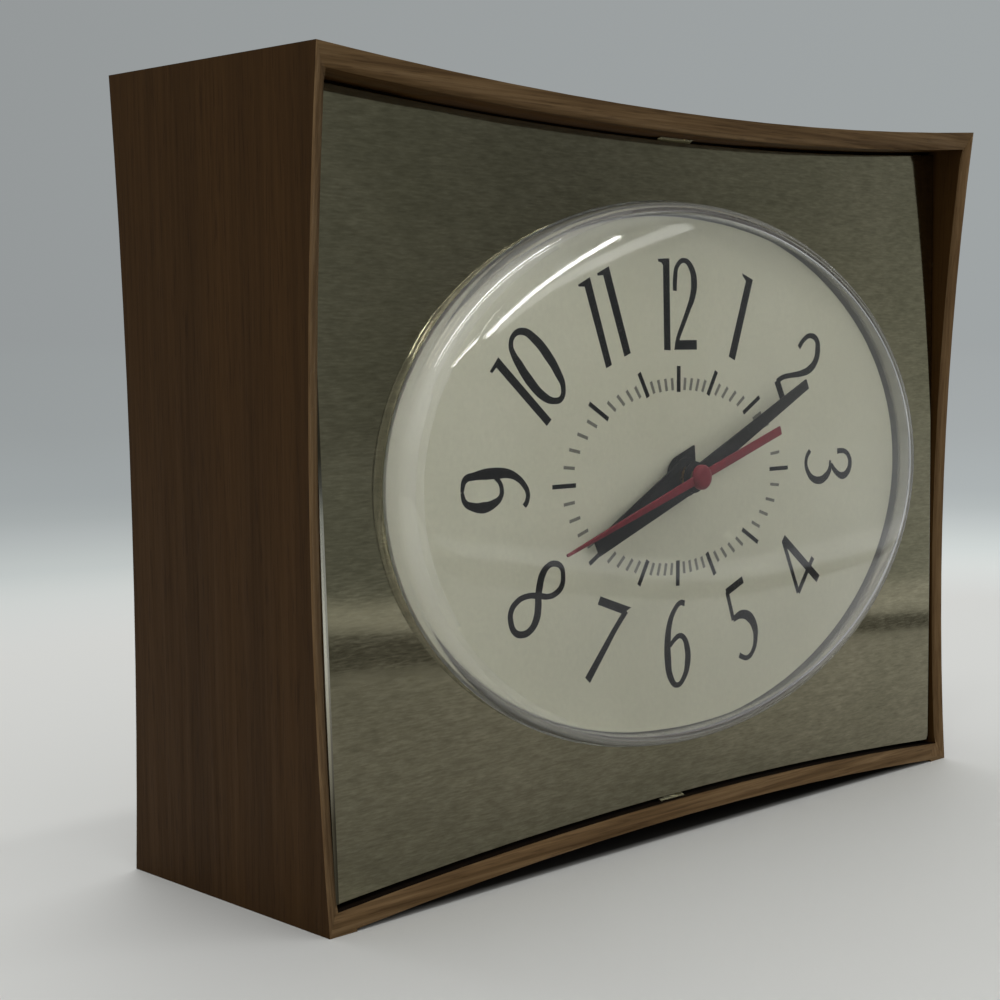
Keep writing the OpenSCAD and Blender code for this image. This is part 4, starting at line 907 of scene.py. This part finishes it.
def mirrored_room(tree, way, toward):
    """The room in mirrors: a pale window low on the right, a light ceiling and a light wall behind the clock."""
    window = shades(tree, toward["X"], (0.72, (0, 0, 0)), (0.845, (0.2, 0.208, 0.205)))
    low = shades(tree, toward["Z"], (0.01, (1, 1, 1)), (0.12, (0.55, 0.55, 0.55)))
    plain = shades(tree, toward["X"], (0.65, (0.155, 0.162, 0.16)), (0.74, (0.105, 0.11, 0.11)))
    behind = shades(tree, dot(tree, way, (0.7, 0.7, 0)), (0.5, (0, 0, 0)), (0.9, (0.4, 0.41, 0.41)))
    ceiling = shades(tree, toward["Z"], (0.3, (0, 0, 0)), (0.65, (0.45, 0.46, 0.46)))
    room = added(tree, plain, tinted(tree, window, low))
    return added(tree, added(tree, room, behind), ceiling)


def studio():
    """Soft even light from all round, a pale wall for the camera and the room for mirrors."""
    world = bpy.data.worlds.new("studio")
    world.use_nodes = True
    tree = world.node_tree
    nodes, links = tree.nodes, tree.links
    nodes.clear()
    way = nodes.new("ShaderNodeTexCoord").outputs["Generated"]
    split = nodes.new("ShaderNodeSeparateXYZ")
    links.new(way, split.inputs[0])
    toward = split.outputs
    ray = nodes.new("ShaderNodeLightPath").outputs
    fill = sky(tree, shades(tree, toward["Z"], (0.0, (0.33, 0.33, 0.33)), (1.0, (0.55, 0.55, 0.55))))
    wall = sky(tree, shades(tree, toward["X"], (0.5, (0.302, 0.32, 0.3245)), (0.86, (0.3475, 0.3715, 0.376))))
    seen = lay_over(tree, ray["Is Camera Ray"], fill, wall)
    whole = lay_over(tree, ray["Is Glossy Ray"], seen, sky(tree, mirrored_room(tree, way, toward)))
    links.new(whole, nodes.new("ShaderNodeOutputWorld").inputs["Surface"])
    return world


put_down()
bpy.ops.mesh.primitive_circle_add(vertices=128, radius=14, fill_type="NGON", location=(0, 0, 0))
floor = bpy.context.object
floor.name = "pale_floor"
coat(floor, floor_finish())
bpy.context.scene.world = studio()


def lamp(name, start, end, aim, depth, watts, only=None):
    """A flat lamp whose long side runs from start to end, turned to shine at aim."""
    light = bpy.data.lights.new(name, "AREA")
    light.shape = "RECTANGLE"
    start, end, aim = Vector(start), Vector(end), Vector(aim)
    middle = (start + end) / 2
    light.size, light.size_y = (end - start).length, depth
    light.energy = watts
    along = (end - start).normalized()
    back = (middle - aim).normalized()
    up = back.cross(along).normalized()
    holder = bpy.data.objects.new(name, light)
    bpy.context.scene.collection.objects.link(holder)
    turn = Matrix((along, up, along.cross(up))).transposed()
    holder.matrix_world = Matrix.Translation(middle) @ turn.to_4x4()
    holder.visible_camera = False
    if only:
        alone = bpy.data.collections.new(name + "_shines_on")
        alone.objects.link(only)
        holder.light_linking.receiver_collection = alone


lamp("overhead_soft_box", (-0.25, 0.5, 1.25), (1.05, 0.5, 1.25), (0, 0, 0.05), 1.0, 6.5)
lamp("ceiling_tube", (-0.72, -0.32, 1.2), (0.4, -0.23, 1.2), (-0.03, -0.02, 0.1), 0.07, 3.0)
# The next five give the lens its bright arcs and leave the rest of the clock alone.
lamp("far_tube", (0.455, -0.848, 0.345), (0.665, -0.656, 0.462), (-0.035, -0.02, 0.09), 0.01, 0.24, lens)
lamp("near_tube", (0.015, -0.887, 0.589), (0.42, -0.862, 0.37), (-0.05, -0.02, 0.08), 0.015, 0.7, lens)
lamp("far_glow", (0.5, -0.86, 0.35), (0.76, -0.565, 0.455), (-0.02, -0.02, 0.09), 0.028, 0.05, lens)
lamp("rear_tube", (0.35, 0.6, 1.05), (0.87, 0.55, 0.65), (-0.03, -0.02, 0.1), 0.06, 2.0, lens)
lamp("roll_tube", (-0.62, -0.3, 1.2), (0.46, -0.22, 1.18), (-0.04, -0.02, 0.1), 0.02, 1.6, lens)

# ---------------------------------------------------------------- camera
CAMERA_PLACE = (-0.23384, -0.21427, 0.083385)
HEADING, LOOKING_DOWN, TILT = -44.487, 10.366, 0.05
photo_lens = bpy.data.cameras.new("photo_view")
photo_lens.sensor_width = 36
photo_lens.lens = 65.77
photo_lens.shift_x = 0.0115
photo_lens.shift_y = 0.1653
photo_lens.clip_start = 0.01
camera = bpy.data.objects.new("photo_view", photo_lens)
bpy.context.scene.collection.objects.link(camera)
camera.matrix_world = (Matrix.Translation(CAMERA_PLACE) @ Matrix.Rotation(math.radians(HEADING), 4, "Z")
                       @ Matrix.Rotation(math.radians(90 - LOOKING_DOWN), 4, "X")
                       @ Matrix.Rotation(math.radians(TILT), 4, "Z"))
bpy.context.scene.camera = camera
bpy.context.scene.view_settings.view_transform = "Standard"
